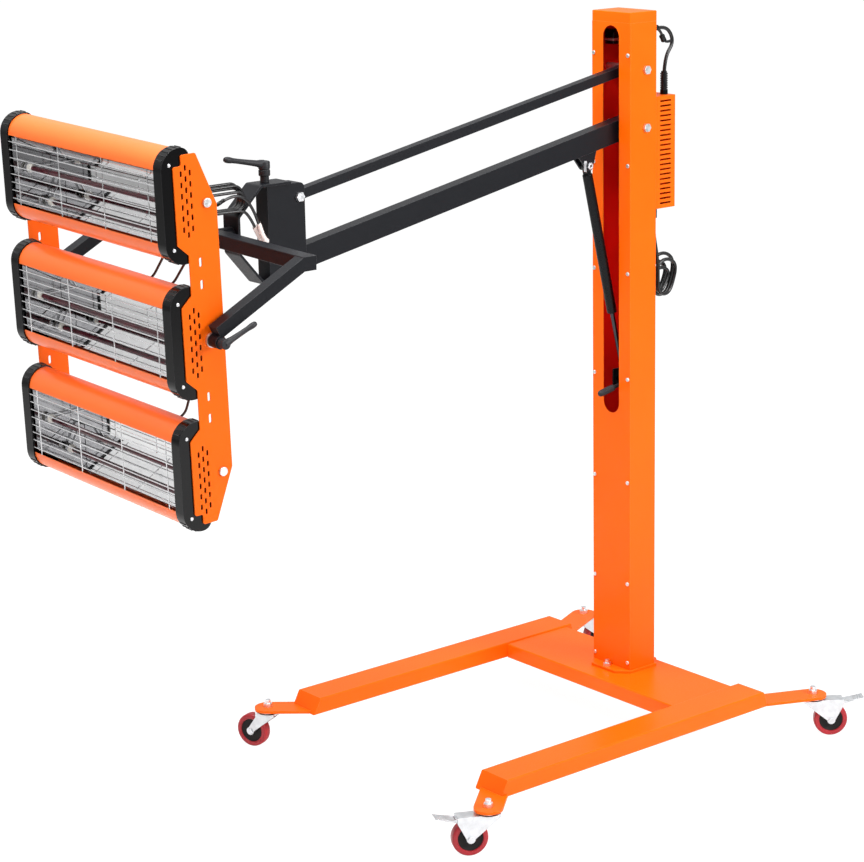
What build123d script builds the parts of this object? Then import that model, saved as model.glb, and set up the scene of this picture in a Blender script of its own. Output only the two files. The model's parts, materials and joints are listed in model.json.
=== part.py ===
from build123d import *
import math
import os

os.makedirs("parts", exist_ok=True)

# Sizes are in millimetres. The origin is on the floor under the middle of the column,
# the lamps face -Y and +Z is up.

# Shared values
overrun = 2.0
seat_gap = 0.3
pin_gap = 0.05
screw_gap = 0.1
sheet_edge = 1.0

# Base frame
frame_top = 127.0
leg_center_x = 315.0
leg_width = 80.0
leg_height = 36.0
leg_wall = 2.0
leg_front = -662.0
leg_rear = 87.0
leg_front_slope = 19.0
leg_rear_slope = 11.0
leg_edge = 3.0
leg_bottom = frame_top - leg_height
drain_radius = 5.0
drain_inset = 60.0

plate_step = 3.5
cross_front = -114.0
cross_rear = 71.0
cross_height = 33.0
cross_wall = 3.0
cross_top = frame_top - plate_step
cross_span = 2 * leg_center_x - leg_width

tab_width = 60.0
tab_thickness = 6.0

# Casters
caster_x = 377.0
caster_front_y = -733.0
caster_rear_y = 222.0
caster_trail = 40.0
wheel_radius = 37.5
wheel_width = 24.0
wheel_edge = 4.0
hub_radius = 25.0
hub_recess = 3.0
axle_radius = 4.0
axle_head_radius = 7.0
axle_head_height = 3.0
fork_plate = 2.5
fork_side_gap = 1.5
fork_foot_radius = 9.0
crown_radius = 25.0
crown_thickness = 3.0
crown_gap = 1.5
race_radius = 22.0
race_thickness = 4.0
stem_radius = 6.0
stem_head_radius = 10.0
stem_head_height = 2.5
stem_reach = 17.0
stem_nut_flats = 17.0
stem_nut_height = 9.0
pedal_width = 30.0
pedal_length = 42.0
pedal_rise = 8.0
pedal_ear = 5.0
pedal_pin_radius = 2.5
pedal_hinge_forward = 22.0
caster_turn_front_left = 202.0
caster_turn_front_right = 244.0
caster_turn_rear_left = 75.0
caster_turn_rear_right = 53.0
braked_casters = ["front_right", "rear_right"]

# Column
column_width = 119.0
column_depth = 79.0
column_wall = 2.0
column_top = 1581.0
column_flange = 17.0
column_edge = 2.5
cover_thickness = 2.0
cap_height = 22.5
cap_round = 2.0
foot_width = 128.0
foot_depth = 132.0
foot_thickness = 6.0
foot_corner = 26.0
foot_bolt_radius = 5.0
foot_bolt_inset = 13.0
foot_bolt_flats = 16.0
foot_bolt_height = 7.0
slot_width = 50.0
slot_length = 853.0
slot_end_margin = 7.0
cover_screw_drop = 68.0
cover_screw_pitch = 236.0
cover_screw_low = 146.0
cover_screw_inset = 6.5
screw_head_radius = 4.5
screw_head_height = 2.5
screw_radius = 2.0
screw_grip = 6.0

# Parallel arms
pivot_y = 8.0
lower_pivot_drop = 225.4
pivot_spacing = 124.0
arm_length = 915.0
arm_drop = 10.9
arm_width = 30.0
arm_height = 46.0
arm_wall = 2.5
link_size = 20.0
link_wall = 2.0
link_overhang = 13.0
pivot_pin_radius = 6.0
bush_radius = 10.0
shoulder_radius = 9.0
pivot_head_flats = 17.0
pivot_head_height = 6.0

# Gas spring and its release lever
spring_pin_along = 134.0
spring_pin_drop = 50.0
spring_pin_radius = 5.0
spring_pin_head = 8.0
spring_pin_head_height = 4.0
ear_thickness = 4.0
ear_half_length = 26.0
ear_radius = 11.0
spring_foot_y = 0.0
spring_foot_drop = 565.6
cylinder_radius = 11.0
cylinder_length = 322.0
cylinder_start = 20.0
cylinder_wall = 1.5
eye_radius = 10.0
eye_width = 16.0
rod_radius = 5.0
rod_inside = 215.0
foot_pin_radius = 5.0
foot_pin_length = 40.0
foot_ear_gap = 44.0
foot_ear_thickness = 3.0
foot_ear_height = 44.0
foot_ear_reach = 50.0
release_hub_width = 8.0
release_hub_radius = 9.0
release_rod_radius = 4.0
release_reach = 90.0
release_grip_length = 46.0
release_grip_radius = 7.5
release_slope = 11.0

# Bracket on the end of the arms
box_half_width = 19.5
box_ahead = 76.0
box_behind = 13.0
box_above = 152.4
box_below = 32.6
box_wall = 3.0
box_corner = 12.0
box_heel = 22.0

# Turning joint at the front of the bracket
pan_ahead = 67.5
pan_bolt_radius = 4.0
pan_head_radius = 8.0
pan_head_height = 5.0
clamp_collar_radius = 9.0
clamp_collar_height = 13.0
clamp_hub_radius = 11.5
clamp_hub_height = 29.0
clamp_reach = 88.0
clamp_rise = 17.0
clamp_thick = 13.0
clamp_tip_radius = 6.0

strap_width = 50.0
strap_thickness = 5.0
strap_tail = 45.0
strap_bend_ahead = 94.0
strap_web_ahead = 148.0
strap_web_above = 102.4
strap_web_height = 74.0
strap_bend_radius = 9.0
strap_foot = 18.0

# Yoke
roll_ahead = 193.5
roll_above = 66.4
roll_rest = 1.75
bar_depth = 30.0
bar_height = 27.0
bar_wall = 2.0
bar_round = 1.5
yoke_half_span = 311.0
yoke_arm_width = 25.0
yoke_arm_thickness = 24.0
yoke_arm_slope = 27.5
yoke_arm_lift = 17.7
roll_boss_radius = 15.0
roll_bolt_radius = 6.0
roll_nut_flats = 19.0
roll_nut_height = 8.0
tilt_forward = 199.0
tilt_drop = 117.5
tilt_rest = 2.46
tilt_boss_radius = 12.0
tilt_bolt_radius = 5.0
tilt_nut_flats = 16.0
tilt_nut_height = 8.0
yoke_tip = 4.5
tilt_washer_radius = 13.5
tilt_lever_hub_radius = 9.5
tilt_lever_hub_length = 17.0
tilt_lever_reach = 70.0
tilt_lever_rise = 27.0
tilt_lever_thick = 11.0
tilt_lever_tip_radius = 5.5

# Side plates of the lamp head
side_outer = 280.0
side_thickness = 2.5
side_half_height = 341.5
side_rear = 29.0
side_front = -58.0
side_neck = -36.0
side_tip_rear = -10.0
side_tip_front = -41.0
side_step = 322.0
side_shoulder = 245.0
side_corner = 4.0
lamp_pitch = 250.0
neck_top_share = 0.645
neck_bottom_share = 0.35
neck_slant = 20.0
gap_slot_y = -12.5
gap_slot_offset = 20.5
gap_slot_center = 124.5
gap_slot_width = 6.0
gap_slot_length = 17.0
vent_width = 4.5
vent_length = 11.0
vent_pitch_y = 9.5
vent_pitch_z = 20.0
vent_center_y = -33.0
vent_block_pitch = 258.0
vent_rows = 7
side_bolt_y = 7.0
side_bolt_radius = 4.0
side_bolt_head = 8.5
side_bolt_head_height = 5.0

# Lamps
lamp_half_length = 251.0
lamp_front = -78.0
lamp_rear = 16.0
lamp_lip_z = 66.0
lamp_top_z = 101.5
lamp_dome_radius = 36.0
lamp_back_y = -30.0
lamp_back_radius = 16.0
lamp_rear_z = 8.0
lamp_rear_corner = 12.0
lamp_shell = 1.5
lamp_lip = 5.0
cap_thickness = 25.7
cap_margin = 3.0
cap_rib_count = 6
cap_rib_width = 1.4
cap_rib_inset = 4.0
cap_rib_start = 80.0
cap_rib_step = 14.0
mirror_thickness = 1.0
mirror_rear_z = 17.0
mirror_gap = 0.4
wire_radius = 1.1
wire_count = 8
wire_pitch = 15.6
wire_lap = 1.7
wire_inset = 1.0
post_count = 4
post_pitch = 150.0
heater_y = -45.0
heater_radius = 5.5
holder_width = 20.0
holder_end_gap = 4.0
holder_depth = 14.0

# Control box
control_half_width = 56.0
control_drop = 162.0
control_height = 245.0
control_depth = 61.0
control_wall = 1.5
control_edge = 3.0
louvre_count = 22
louvre_pitch = 10.6
louvre_height = 4.0
louvre_length = 34.0
switch_width = 21.0
switch_height = 15.0
switch_depth = 9.0
switch_pitch = 32.0
switch_drop = 31.0
switch_proud = 3.0
switch_dip = 1.5
switch_frame = 2.0
rocker_rest = 7.0
rocker_bore_radius = 1.2
knob_drop = 149.0
knob_radius = 17.0
knob_height = 15.0
knob_shaft_radius = 3.0
knob_flute_count = 12
knob_flute_radius = 2.0
gland_radius = 8.5
gland_height = 50.0
gland_rib_count = 8
gland_rib_radius = 6.5
gland_rib_pitch = 5.0
gland_collar = 8.0
link_gland_x = 36.0
link_gland_y = 84.0
power_gland_x = 20.0
power_gland_y = 68.0
power_gland_height = 26.0

# Cords
cord_radius = 4.0
cord_gap = 0.5
loop_x = 36.0
loop_exit_drop = 25.0
bend_share = 0.45
loop_rise = 16.0
loop_reach = 32.0
hank_gap = 0.9
hank_turns = 6
hank_side_y = 84.0
hank_width = 58.0
hank_top_drop = 163.0
hank_height = 26.0
hank_tail = 112.0
hank_drop = 58.0
tie_height = 12.0
tie_thickness = 1.5
plug_radius = 18.0
plug_length = 34.0
plug_neck_radius = 9.0
plug_neck_length = 22.0
plug_pin_radius = 2.4
plug_pin_length = 19.0
plug_pin_pitch = 19.0
head_cord_radius = 3.0
head_cord_turns = 4
head_coil_x = 29.0
head_coil_rear = -1043.0
head_coil_front = -1098.0
head_coil_z = 1318.0
head_coil_height = 41.0
near_lead_run = [(20.0, -1000.0, 1262.0), (29.0, -1015.0, 1281.0)]
far_lead_run = [
    (29.5, -997.0, 1268.5),
    (37.0, -1012.0, 1298.0),
    (37.0, -1034.0, 1325.0),
    (37.0, -1064.0, 1331.0),
    (36.0, -1095.0, 1317.0),
]
sleeve_radius = 4.5
sleeve_runs = [
    [(19.8, -999.7, 1261.6), (11.0, -985.0, 1243.0), (5.0, -974.0, 1226.0)],
    [(29.4, -996.8, 1268.1), (23.5, -985.0, 1244.9), (15.0, -974.0, 1229.0)],
]
lead_radius = 2.5
lead_stand_off = 29.0
lead_inside = 5.0
lead_sag = 3.0
lamp_lead_runs = [
    [(140.0, 200.0), (101.0, 150.0), (57.0, 100.0), (16.0, 50.0)],
    [(219.0, 200.0), (176.0, 150.0), (128.0, 100.0), (85.0, 50.0)],
    [(172.0, -50.0), (146.0, -100.0), (124.0, -150.0), (101.0, -200.0)],
]
sample_step = 2.0

# Heights that follow the top of the column
slot_top = column_top - slot_end_margin
slot_bottom = slot_top - slot_length
cover_screw_top = column_top - cover_screw_drop
cover_screw_rows = int((cover_screw_top - cover_screw_low) / cover_screw_pitch) + 1
lower_pivot_z = column_top - lower_pivot_drop
spring_foot_z = lower_pivot_z - spring_foot_drop
control_top = column_top - control_drop
control_bottom = control_top - control_height
switch_z = control_top - switch_drop
knob_z = control_top - knob_drop
hank_top = control_bottom - hank_top_drop
hank_low = hank_top - hank_height

# Frames that follow the parts as they stand at rest
arm = Pos(0, pivot_y, lower_pivot_z) * Rot(X=arm_drop)
link = Pos(0, pivot_y, lower_pivot_z + pivot_spacing) * Rot(X=arm_drop)
arm_side = Plane(arm * Plane.YZ.location)
link_side = Plane(link * Plane.YZ.location)
front_pivot_y = pivot_y - arm_length * math.cos(math.radians(arm_drop))
front_pivot_z = lower_pivot_z - arm_length * math.sin(math.radians(arm_drop))

# The bracket, the clevis and the yoke follow the end of the arm
box_front = front_pivot_y - box_ahead
box_rear = front_pivot_y + box_behind
box_top = front_pivot_z + box_above
box_bottom = front_pivot_z - box_below
pan_y = front_pivot_y - pan_ahead
strap_bend_y = front_pivot_y - strap_bend_ahead
strap_web_y = front_pivot_y - strap_web_ahead
strap_web_top = front_pivot_z + strap_web_above
strap_web_bottom = strap_web_top - strap_web_height
roll_y = front_pivot_y - roll_ahead
roll_z = front_pivot_z + roll_above

spring_pin = (arm * Pos(0, -spring_pin_along, -spring_pin_drop)).position
spring_run = math.hypot(spring_pin.Y - spring_foot_y, spring_pin.Z - spring_foot_z)
spring_lean = math.degrees(math.atan2(spring_foot_y - spring_pin.Y, spring_pin.Z - spring_foot_z))
spring = Pos(0, spring_pin.Y, spring_pin.Z) * Rot(X=spring_lean)
spring_side = Plane(spring * Plane.YZ.location)
spring_axis = Plane(spring * Plane.XY.location)

yoke = Pos(0, roll_y, roll_z) * Rot(Y=roll_rest) * Pos(0, -tilt_forward, -tilt_drop)
yoke_side = Plane(yoke * Plane.YZ.location)
head = yoke * Rot(X=tilt_rest)
head_side = Plane(head * Plane.YZ.location)
lamp_heights = [lamp_pitch, 0, -lamp_pitch]
lamp_names = ["top", "middle", "bottom"]

# Base: two long box tubes, a folded plate between them and a strip at each corner
leg_sides = {"left": -leg_center_x, "right": leg_center_x}
leg_corners = [
    (leg_front, frame_top),
    (leg_rear, frame_top),
    (leg_rear + leg_rear_slope, leg_bottom),
    (leg_front - leg_front_slope, leg_bottom),
]

for side_name, center_x in leg_sides.items():
    with BuildPart() as leg:
        with BuildSketch(Plane.YZ.offset(center_x)):
            with BuildLine():
                Polyline(*leg_corners, close=True)
            make_face()
        extrude(amount=leg_width / 2, both=True)
        fillet(leg.edges().filter_by(Axis.Y), radius=leg_edge)
        with BuildSketch(Plane.YZ.offset(center_x)):
            with BuildLine():
                Polyline(*leg_corners, close=True)
            make_face()
            offset(amount=-leg_wall, kind=Kind.INTERSECTION, mode=Mode.REPLACE)
        extrude(amount=leg_width / 2 - leg_wall, both=True, mode=Mode.SUBTRACT)
        with BuildSketch(Plane.XY.offset(leg_bottom)):
            with Locations((center_x, leg_front + drain_inset), (center_x, leg_rear - drain_inset)):
                Circle(drain_radius)
        extrude(amount=leg_wall, mode=Mode.SUBTRACT)
    leg.part.label = f"{side_name}_leg"
    export_step(leg.part, f"parts/{side_name}_leg.step")

with BuildPart() as cross_plate:
    with BuildSketch(Plane.YZ):
        with Locations((cross_rear, cross_top)):
            Rectangle(cross_rear - cross_front, cross_height, align=(Align.MAX, Align.MAX))
        with Locations((cross_rear - cross_wall, cross_top - cross_wall)):
            Rectangle(
                cross_rear - cross_front - 2 * cross_wall,
                cross_height,
                align=(Align.MAX, Align.MAX),
                mode=Mode.SUBTRACT,
            )
    extrude(amount=cross_span / 2, both=True)
    outer_folds = cross_plate.edges().filter_by(Axis.X).group_by(Axis.Z)[-1]
    fillet(outer_folds, radius=cross_wall)
    with BuildSketch(Plane.XY.offset(cross_top)):
        with Locations((0, foot_bolt_inset - foot_depth / 2), (0, foot_depth / 2 - foot_bolt_inset)):
            Circle(foot_bolt_radius + screw_gap)
    extrude(amount=-cross_wall, mode=Mode.SUBTRACT)
cross_plate.part.label = "cross_plate"
export_step(cross_plate.part, "parts/cross_plate.step")

caster_spots = {
    "front_left": (-caster_x, caster_front_y, caster_turn_front_left),
    "front_right": (caster_x, caster_front_y, caster_turn_front_right),
    "rear_left": (-caster_x, caster_rear_y, caster_turn_rear_left),
    "rear_right": (caster_x, caster_rear_y, caster_turn_rear_right),
}

with BuildPart() as caster_plates:
    with BuildSketch(Plane.XY.offset(leg_bottom)):
        for spot_x, spot_y, _ in caster_spots.values():
            front = spot_y < 0
            root_x = math.copysign(leg_center_x, spot_x)
            root_y = leg_front if front else leg_rear
            reach = math.hypot(spot_x - root_x, spot_y - root_y)
            bearing = math.degrees(math.atan2(spot_y - root_y, spot_x - root_x))
            with Locations(((spot_x + root_x) / 2, (spot_y + root_y) / 2)):
                SlotCenterToCenter(reach, tab_width, rotation=bearing)
        with Locations(*[(spot_x, spot_y) for spot_x, spot_y, _ in caster_spots.values()]):
            Circle(stem_radius + screw_gap, mode=Mode.SUBTRACT)
    extrude(amount=tab_thickness)
    for center_x in leg_sides.values():
        with BuildSketch(Plane.YZ.offset(center_x)):
            with BuildLine():
                Polyline(*leg_corners, close=True)
            make_face()
        extrude(amount=leg_width / 2, both=True, mode=Mode.SUBTRACT)
caster_plates.part.label = "caster_plates"
export_step(caster_plates.part, "parts/caster_plates.step")

# Casters: a stem held by the strip, a fork that swivels on it, a wheel and a foot pedal
race_bottom = leg_bottom - race_thickness
crown_top = race_bottom - crown_gap
crown_bottom = crown_top - crown_thickness
stem_foot = crown_bottom - seat_gap - stem_head_height
tab_top = leg_bottom + tab_thickness
cheek_inner = wheel_width / 2 + fork_side_gap
cheek_outer = cheek_inner + fork_plate
pedal_hinge_u = caster_trail + pedal_hinge_forward
pedal_hinge_z = crown_bottom - pedal_ear

with BuildPart() as caster_stems:
    for spot_x, spot_y, _ in caster_spots.values():
        with BuildSketch(Plane.XY.offset(leg_bottom)):
            with Locations((spot_x, spot_y)):
                Circle(race_radius)
        extrude(amount=-race_thickness)
        with BuildSketch(Plane.XY.offset(stem_foot)):
            with Locations((spot_x, spot_y)):
                Circle(stem_head_radius)
        extrude(amount=stem_head_height)
        with BuildSketch(Plane.XY.offset(stem_foot)):
            with Locations((spot_x, spot_y)):
                Circle(stem_radius)
        extrude(amount=tab_top + stem_reach - stem_foot)
        with BuildSketch(Plane.XY.offset(tab_top)):
            with Locations((spot_x, spot_y)):
                RegularPolygon(stem_nut_flats / 2, side_count=6, major_radius=False)
        extrude(amount=stem_nut_height)
caster_stems.part.label = "caster_stems"
export_step(caster_stems.part, "parts/caster_stems.step")

for spot_name, (spot_x, spot_y, turn) in caster_spots.items():
    caster = Pos(spot_x, spot_y, 0) * Rot(Z=turn)
    caster_side = Plane(caster * Plane.XZ.location)
    braked = spot_name in braked_casters
    cheek_tail = pedal_hinge_u + pedal_ear if braked else crown_radius

    with BuildPart() as fork:
        with BuildSketch(Plane(caster * Plane.XY.location).offset(crown_bottom)):
            Circle(crown_radius)
        extrude(amount=crown_thickness)
        with BuildSketch(caster_side):
            with BuildLine():
                Polyline(
                    (-crown_radius + fork_plate, crown_bottom + crown_thickness),
                    (cheek_tail, crown_bottom + crown_thickness),
                    (cheek_tail, crown_bottom - 2 * pedal_ear),
                    (caster_trail + fork_foot_radius, wheel_radius),
                    (caster_trail - fork_foot_radius, wheel_radius),
                    (-crown_radius + fork_plate, crown_bottom - crown_thickness),
                    close=True,
                )
            make_face()
            with Locations((caster_trail, wheel_radius)):
                Circle(fork_foot_radius)
        extrude(amount=cheek_outer, both=True)
        with BuildSketch(caster_side):
            with Locations((0, crown_bottom)):
                Rectangle(
                    4 * wheel_radius,
                    2 * wheel_radius,
                    align=(Align.CENTER, Align.MAX),
                )
        extrude(amount=cheek_inner, both=True, mode=Mode.SUBTRACT)
        with BuildSketch(caster_side):
            with Locations((caster_trail, wheel_radius)):
                Circle(axle_radius)
        extrude(amount=cheek_outer + axle_head_height, both=True)
        for side in (-1, 1):
            with BuildSketch(caster_side.offset(side * cheek_outer)):
                with Locations((caster_trail, wheel_radius)):
                    RegularPolygon(axle_head_radius, side_count=6)
            extrude(amount=side * axle_head_height)
        if braked:
            with BuildSketch(caster_side):
                with Locations((pedal_hinge_u, pedal_hinge_z)):
                    Circle(pedal_pin_radius)
            extrude(amount=cheek_outer, both=True)
        with BuildSketch(Plane(caster * Plane.XY.location).offset(crown_bottom - overrun)):
            Circle(stem_radius + pin_gap)
        extrude(amount=crown_thickness + 2 * overrun, mode=Mode.SUBTRACT)
    fork.part.label = f"caster_fork_{spot_name}"
    export_step(fork.part, f"parts/caster_fork_{spot_name}.step")

    with BuildPart() as wheel:
        with BuildSketch(caster_side):
            with Locations((caster_trail, wheel_radius)):
                Circle(wheel_radius)
        extrude(amount=wheel_width / 2, both=True)
        fillet(wheel.edges().filter_by(GeomType.CIRCLE), radius=wheel_edge)
        for side in (-1, 1):
            with BuildSketch(caster_side.offset(side * wheel_width / 2)):
                with Locations((caster_trail, wheel_radius)):
                    Circle(hub_radius)
                    Circle(axle_head_radius, mode=Mode.SUBTRACT)
            extrude(amount=-side * hub_recess, mode=Mode.SUBTRACT)
        with BuildSketch(caster_side):
            with Locations((caster_trail, wheel_radius)):
                Circle(axle_radius + pin_gap)
        extrude(amount=wheel_width, both=True, mode=Mode.SUBTRACT)
    wheel.part.label = f"caster_wheel_{spot_name}"
    export_step(wheel.part, f"parts/caster_wheel_{spot_name}.step")

    if braked:
        pedal_at = caster * Pos(pedal_hinge_u, 0, pedal_hinge_z)
        pedal_tilt = math.degrees(math.atan2(pedal_rise, pedal_length))
        pedal_plane = Plane(pedal_at * Rot(Y=-pedal_tilt) * Plane.XZ.location)
        with BuildPart() as pedal:
            with BuildSketch(pedal_plane):
                Circle(pedal_ear)
                Rectangle(pedal_length, pedal_ear, align=(Align.MIN, Align.CENTER))
            extrude(amount=cheek_inner - seat_gap, both=True)
            with BuildSketch(pedal_plane):
                with Locations((2 * pedal_ear, 0)):
                    Rectangle(pedal_length, pedal_ear, align=(Align.MIN, Align.CENTER))
            extrude(amount=pedal_width / 2, both=True)
            with BuildSketch(pedal_plane):
                Circle(pedal_pin_radius + pin_gap)
            extrude(amount=pedal_width, both=True, mode=Mode.SUBTRACT)
        pedal.part.label = f"brake_pedal_{spot_name}"
        export_step(pedal.part, f"parts/brake_pedal_{spot_name}.step")

# Column: a folded channel closed by a slotted cover, standing on a foot plate
foot_top = cross_top + foot_thickness
shell_front = -column_depth / 2 + cover_thickness
shell_rear = column_depth / 2
wall_x = column_width / 2
inner_x = wall_x - column_wall
foot_bolt_ys = [foot_bolt_inset - foot_depth / 2, foot_depth / 2 - foot_bolt_inset]
screw_x = wall_x - cover_screw_inset
screw_heights = [cover_screw_top - row * cover_screw_pitch for row in range(cover_screw_rows)]
screw_heights.append(cover_screw_low)
screw_spots = [(side * screw_x, height) for side in (-1, 1) for height in screw_heights]
pivot_heights = [lower_pivot_z, lower_pivot_z + pivot_spacing]
loop_exit_z = column_top - loop_exit_drop

with BuildPart() as column_foot:
    with BuildSketch(Plane.XY.offset(cross_top)) as foot_outline:
        Rectangle(foot_width, foot_depth)
        chamfer(foot_outline.vertices(), length=foot_corner)
        with Locations(*[(0, bolt_y) for bolt_y in foot_bolt_ys]):
            Circle(foot_bolt_radius + screw_gap, mode=Mode.SUBTRACT)
    extrude(amount=foot_thickness)
    fillet(column_foot.faces().sort_by(Axis.Z)[-1].outer_wire().edges(), radius=sheet_edge)
column_foot.part.label = "column_foot"
export_step(column_foot.part, "parts/column_foot.step")

with BuildPart() as foot_bolts:
    with BuildSketch(Plane.XY.offset(cross_top - cross_wall)):
        with Locations(*[(0, bolt_y) for bolt_y in foot_bolt_ys]):
            RegularPolygon(foot_bolt_flats / 2, side_count=6, major_radius=False)
    extrude(amount=-foot_bolt_height)
    with BuildSketch(Plane.XY.offset(foot_top)):
        with Locations(*[(0, bolt_y) for bolt_y in foot_bolt_ys]):
            RegularPolygon(foot_bolt_flats / 2, side_count=6, major_radius=False)
    extrude(amount=foot_bolt_height)
    with BuildSketch(Plane.XY.offset(cross_top - cross_wall)):
        with Locations(*[(0, bolt_y) for bolt_y in foot_bolt_ys]):
            Circle(foot_bolt_radius)
    extrude(amount=cross_wall + foot_thickness + 2 * foot_bolt_height)
foot_bolts.part.label = "foot_bolts"
export_step(foot_bolts.part, "parts/foot_bolts.step")

with BuildPart() as column_shell:
    with BuildSketch(Plane.XY.offset(foot_top)) as channel:
        with Locations((0, shell_rear)):
            Rectangle(column_width, shell_rear - shell_front, align=(Align.CENTER, Align.MAX))
        fillet(channel.vertices().group_by(Axis.Y)[-1], radius=column_edge)
        with Locations((0, shell_rear - column_wall)):
            Rectangle(
                2 * inner_x,
                shell_rear - shell_front - 2 * column_wall,
                align=(Align.CENTER, Align.MAX),
                mode=Mode.SUBTRACT,
            )
        with Locations((0, shell_front)):
            Rectangle(column_width - 2 * column_flange, 2 * column_wall, mode=Mode.SUBTRACT)
    extrude(amount=column_top - foot_top)
    with BuildSketch(Plane.YZ):
        with Locations(*[(pivot_y, height) for height in pivot_heights]):
            Circle(pivot_pin_radius + screw_gap)
    extrude(amount=column_width, both=True, mode=Mode.SUBTRACT)
    with BuildSketch(Plane.XZ.offset(-shell_front)):
        with Locations(*screw_spots):
            Circle(screw_radius + screw_gap)
    extrude(amount=-column_wall, mode=Mode.SUBTRACT)
    with BuildSketch(Plane.XZ.offset(-shell_rear)):
        with Locations((loop_x, loop_exit_z)):
            Circle(cord_radius + 2 * cord_gap)
    extrude(amount=2 * column_wall, both=True, mode=Mode.SUBTRACT)
column_shell.part.label = "column_shell"
export_step(column_shell.part, "parts/column_shell.step")

with BuildPart() as front_cover:
    with BuildSketch(Plane.XZ.offset(column_depth / 2)):
        with Locations((0, foot_top)):
            Rectangle(column_width, column_top - foot_top, align=(Align.CENTER, Align.MIN))
        with Locations((0, (slot_bottom + slot_top) / 2)):
            SlotOverall(slot_top - slot_bottom, slot_width, rotation=90, mode=Mode.SUBTRACT)
        with Locations(*screw_spots):
            Circle(screw_radius + screw_gap, mode=Mode.SUBTRACT)
    extrude(amount=-cover_thickness)
    cover_sides = front_cover.edges().filter_by(Axis.Z).group_by(Axis.Y)[0].filter_by(
        lambda edge: abs(edge.center().X) > screw_x
    )
    fillet(cover_sides, radius=sheet_edge)
front_cover.part.label = "front_cover"
export_step(front_cover.part, "parts/front_cover.step")

with BuildPart() as cover_screws:
    with BuildSketch(Plane.XZ.offset(column_depth / 2)):
        with Locations(*screw_spots):
            Circle(screw_head_radius)
    extrude(amount=screw_head_height)
    fillet(cover_screws.edges().group_by(Axis.Y)[0], radius=sheet_edge)
    with BuildSketch(Plane.XZ.offset(column_depth / 2)):
        with Locations(*screw_spots):
            Circle(screw_radius)
    extrude(amount=-screw_grip)
cover_screws.part.label = "cover_screws"
export_step(cover_screws.part, "parts/cover_screws.step")

with BuildPart() as column_cap:
    with BuildSketch(Plane.XY.offset(column_top)) as cap_outline:
        Rectangle(column_width, column_depth)
        fillet(cap_outline.vertices(), radius=column_edge)
    extrude(amount=cap_height)
    fillet(column_cap.faces().sort_by(Axis.Z)[-1].edges(), radius=cap_round)
    with BuildSketch(Plane.XY.offset(column_top)):
        Rectangle(2 * inner_x, column_depth - 2 * column_wall - 2 * cover_thickness)
    extrude(amount=cap_height - 2 * column_wall, mode=Mode.SUBTRACT)
column_cap.part.label = "column_cap"
export_step(column_cap.part, "parts/column_cap.step")

# Pivot bolts: a pin with spacers up to the walls, a hexagon head and a nut
pivot_half_widths = [arm_width / 2, link_size / 2]
with BuildPart() as column_pivot_bolts:
    for height, half_width in zip(pivot_heights, pivot_half_widths):
        with BuildSketch(Plane.YZ):
            with Locations((pivot_y, height)):
                Circle(pivot_pin_radius)
        extrude(amount=wall_x + pivot_head_height, both=True)
        for side in (-1, 1):
            with BuildSketch(Plane.YZ.offset(side * wall_x)):
                with Locations((pivot_y, height)):
                    RegularPolygon(pivot_head_flats / 2, side_count=6, major_radius=False)
            extrude(amount=side * pivot_head_height)
            with BuildSketch(Plane.YZ.offset(side * (half_width + seat_gap))):
                with Locations((pivot_y, height)):
                    Circle(shoulder_radius)
            extrude(amount=side * (inner_x - half_width - seat_gap))
column_pivot_bolts.part.label = "column_pivot_bolts"
export_step(column_pivot_bolts.part, "parts/column_pivot_bolts.step")

front_pivot_heights = [front_pivot_z, front_pivot_z + pivot_spacing]
box_inner = box_half_width - box_wall
strap_top = box_top + seat_gap + strap_thickness
strap_low = box_bottom - seat_gap - strap_thickness
pan_lever_z = strap_top + seat_gap
# Bracket bolts: two pivots across the box and the upright one that the clevis turns on
with BuildPart() as bracket_bolts:
    for height, half_width in zip(front_pivot_heights, pivot_half_widths):
        with BuildSketch(Plane.YZ):
            with Locations((front_pivot_y, height)):
                Circle(pivot_pin_radius)
        extrude(amount=box_half_width + pivot_head_height, both=True)
        for side in (-1, 1):
            with BuildSketch(Plane.YZ.offset(side * box_half_width)):
                with Locations((front_pivot_y, height)):
                    RegularPolygon(pivot_head_flats / 2, side_count=6, major_radius=False)
            extrude(amount=side * pivot_head_height)
            with BuildSketch(Plane.YZ.offset(side * (half_width + seat_gap))):
                with Locations((front_pivot_y, height)):
                    Circle(shoulder_radius)
            extrude(amount=side * (box_inner - half_width - seat_gap))
    with BuildSketch(Plane.XY.offset(strap_low - seat_gap)):
        with Locations((0, pan_y)):
            RegularPolygon(pan_head_radius, side_count=6)
    extrude(amount=-pan_head_height)
    with BuildSketch(Plane.XY.offset(strap_low - seat_gap)):
        with Locations((0, pan_y)):
            Circle(pan_bolt_radius)
    extrude(amount=pan_lever_z + clamp_collar_height - strap_low + seat_gap)
bracket_bolts.part.label = "bracket_bolts"
export_step(bracket_bolts.part, "parts/bracket_bolts.step")

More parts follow.
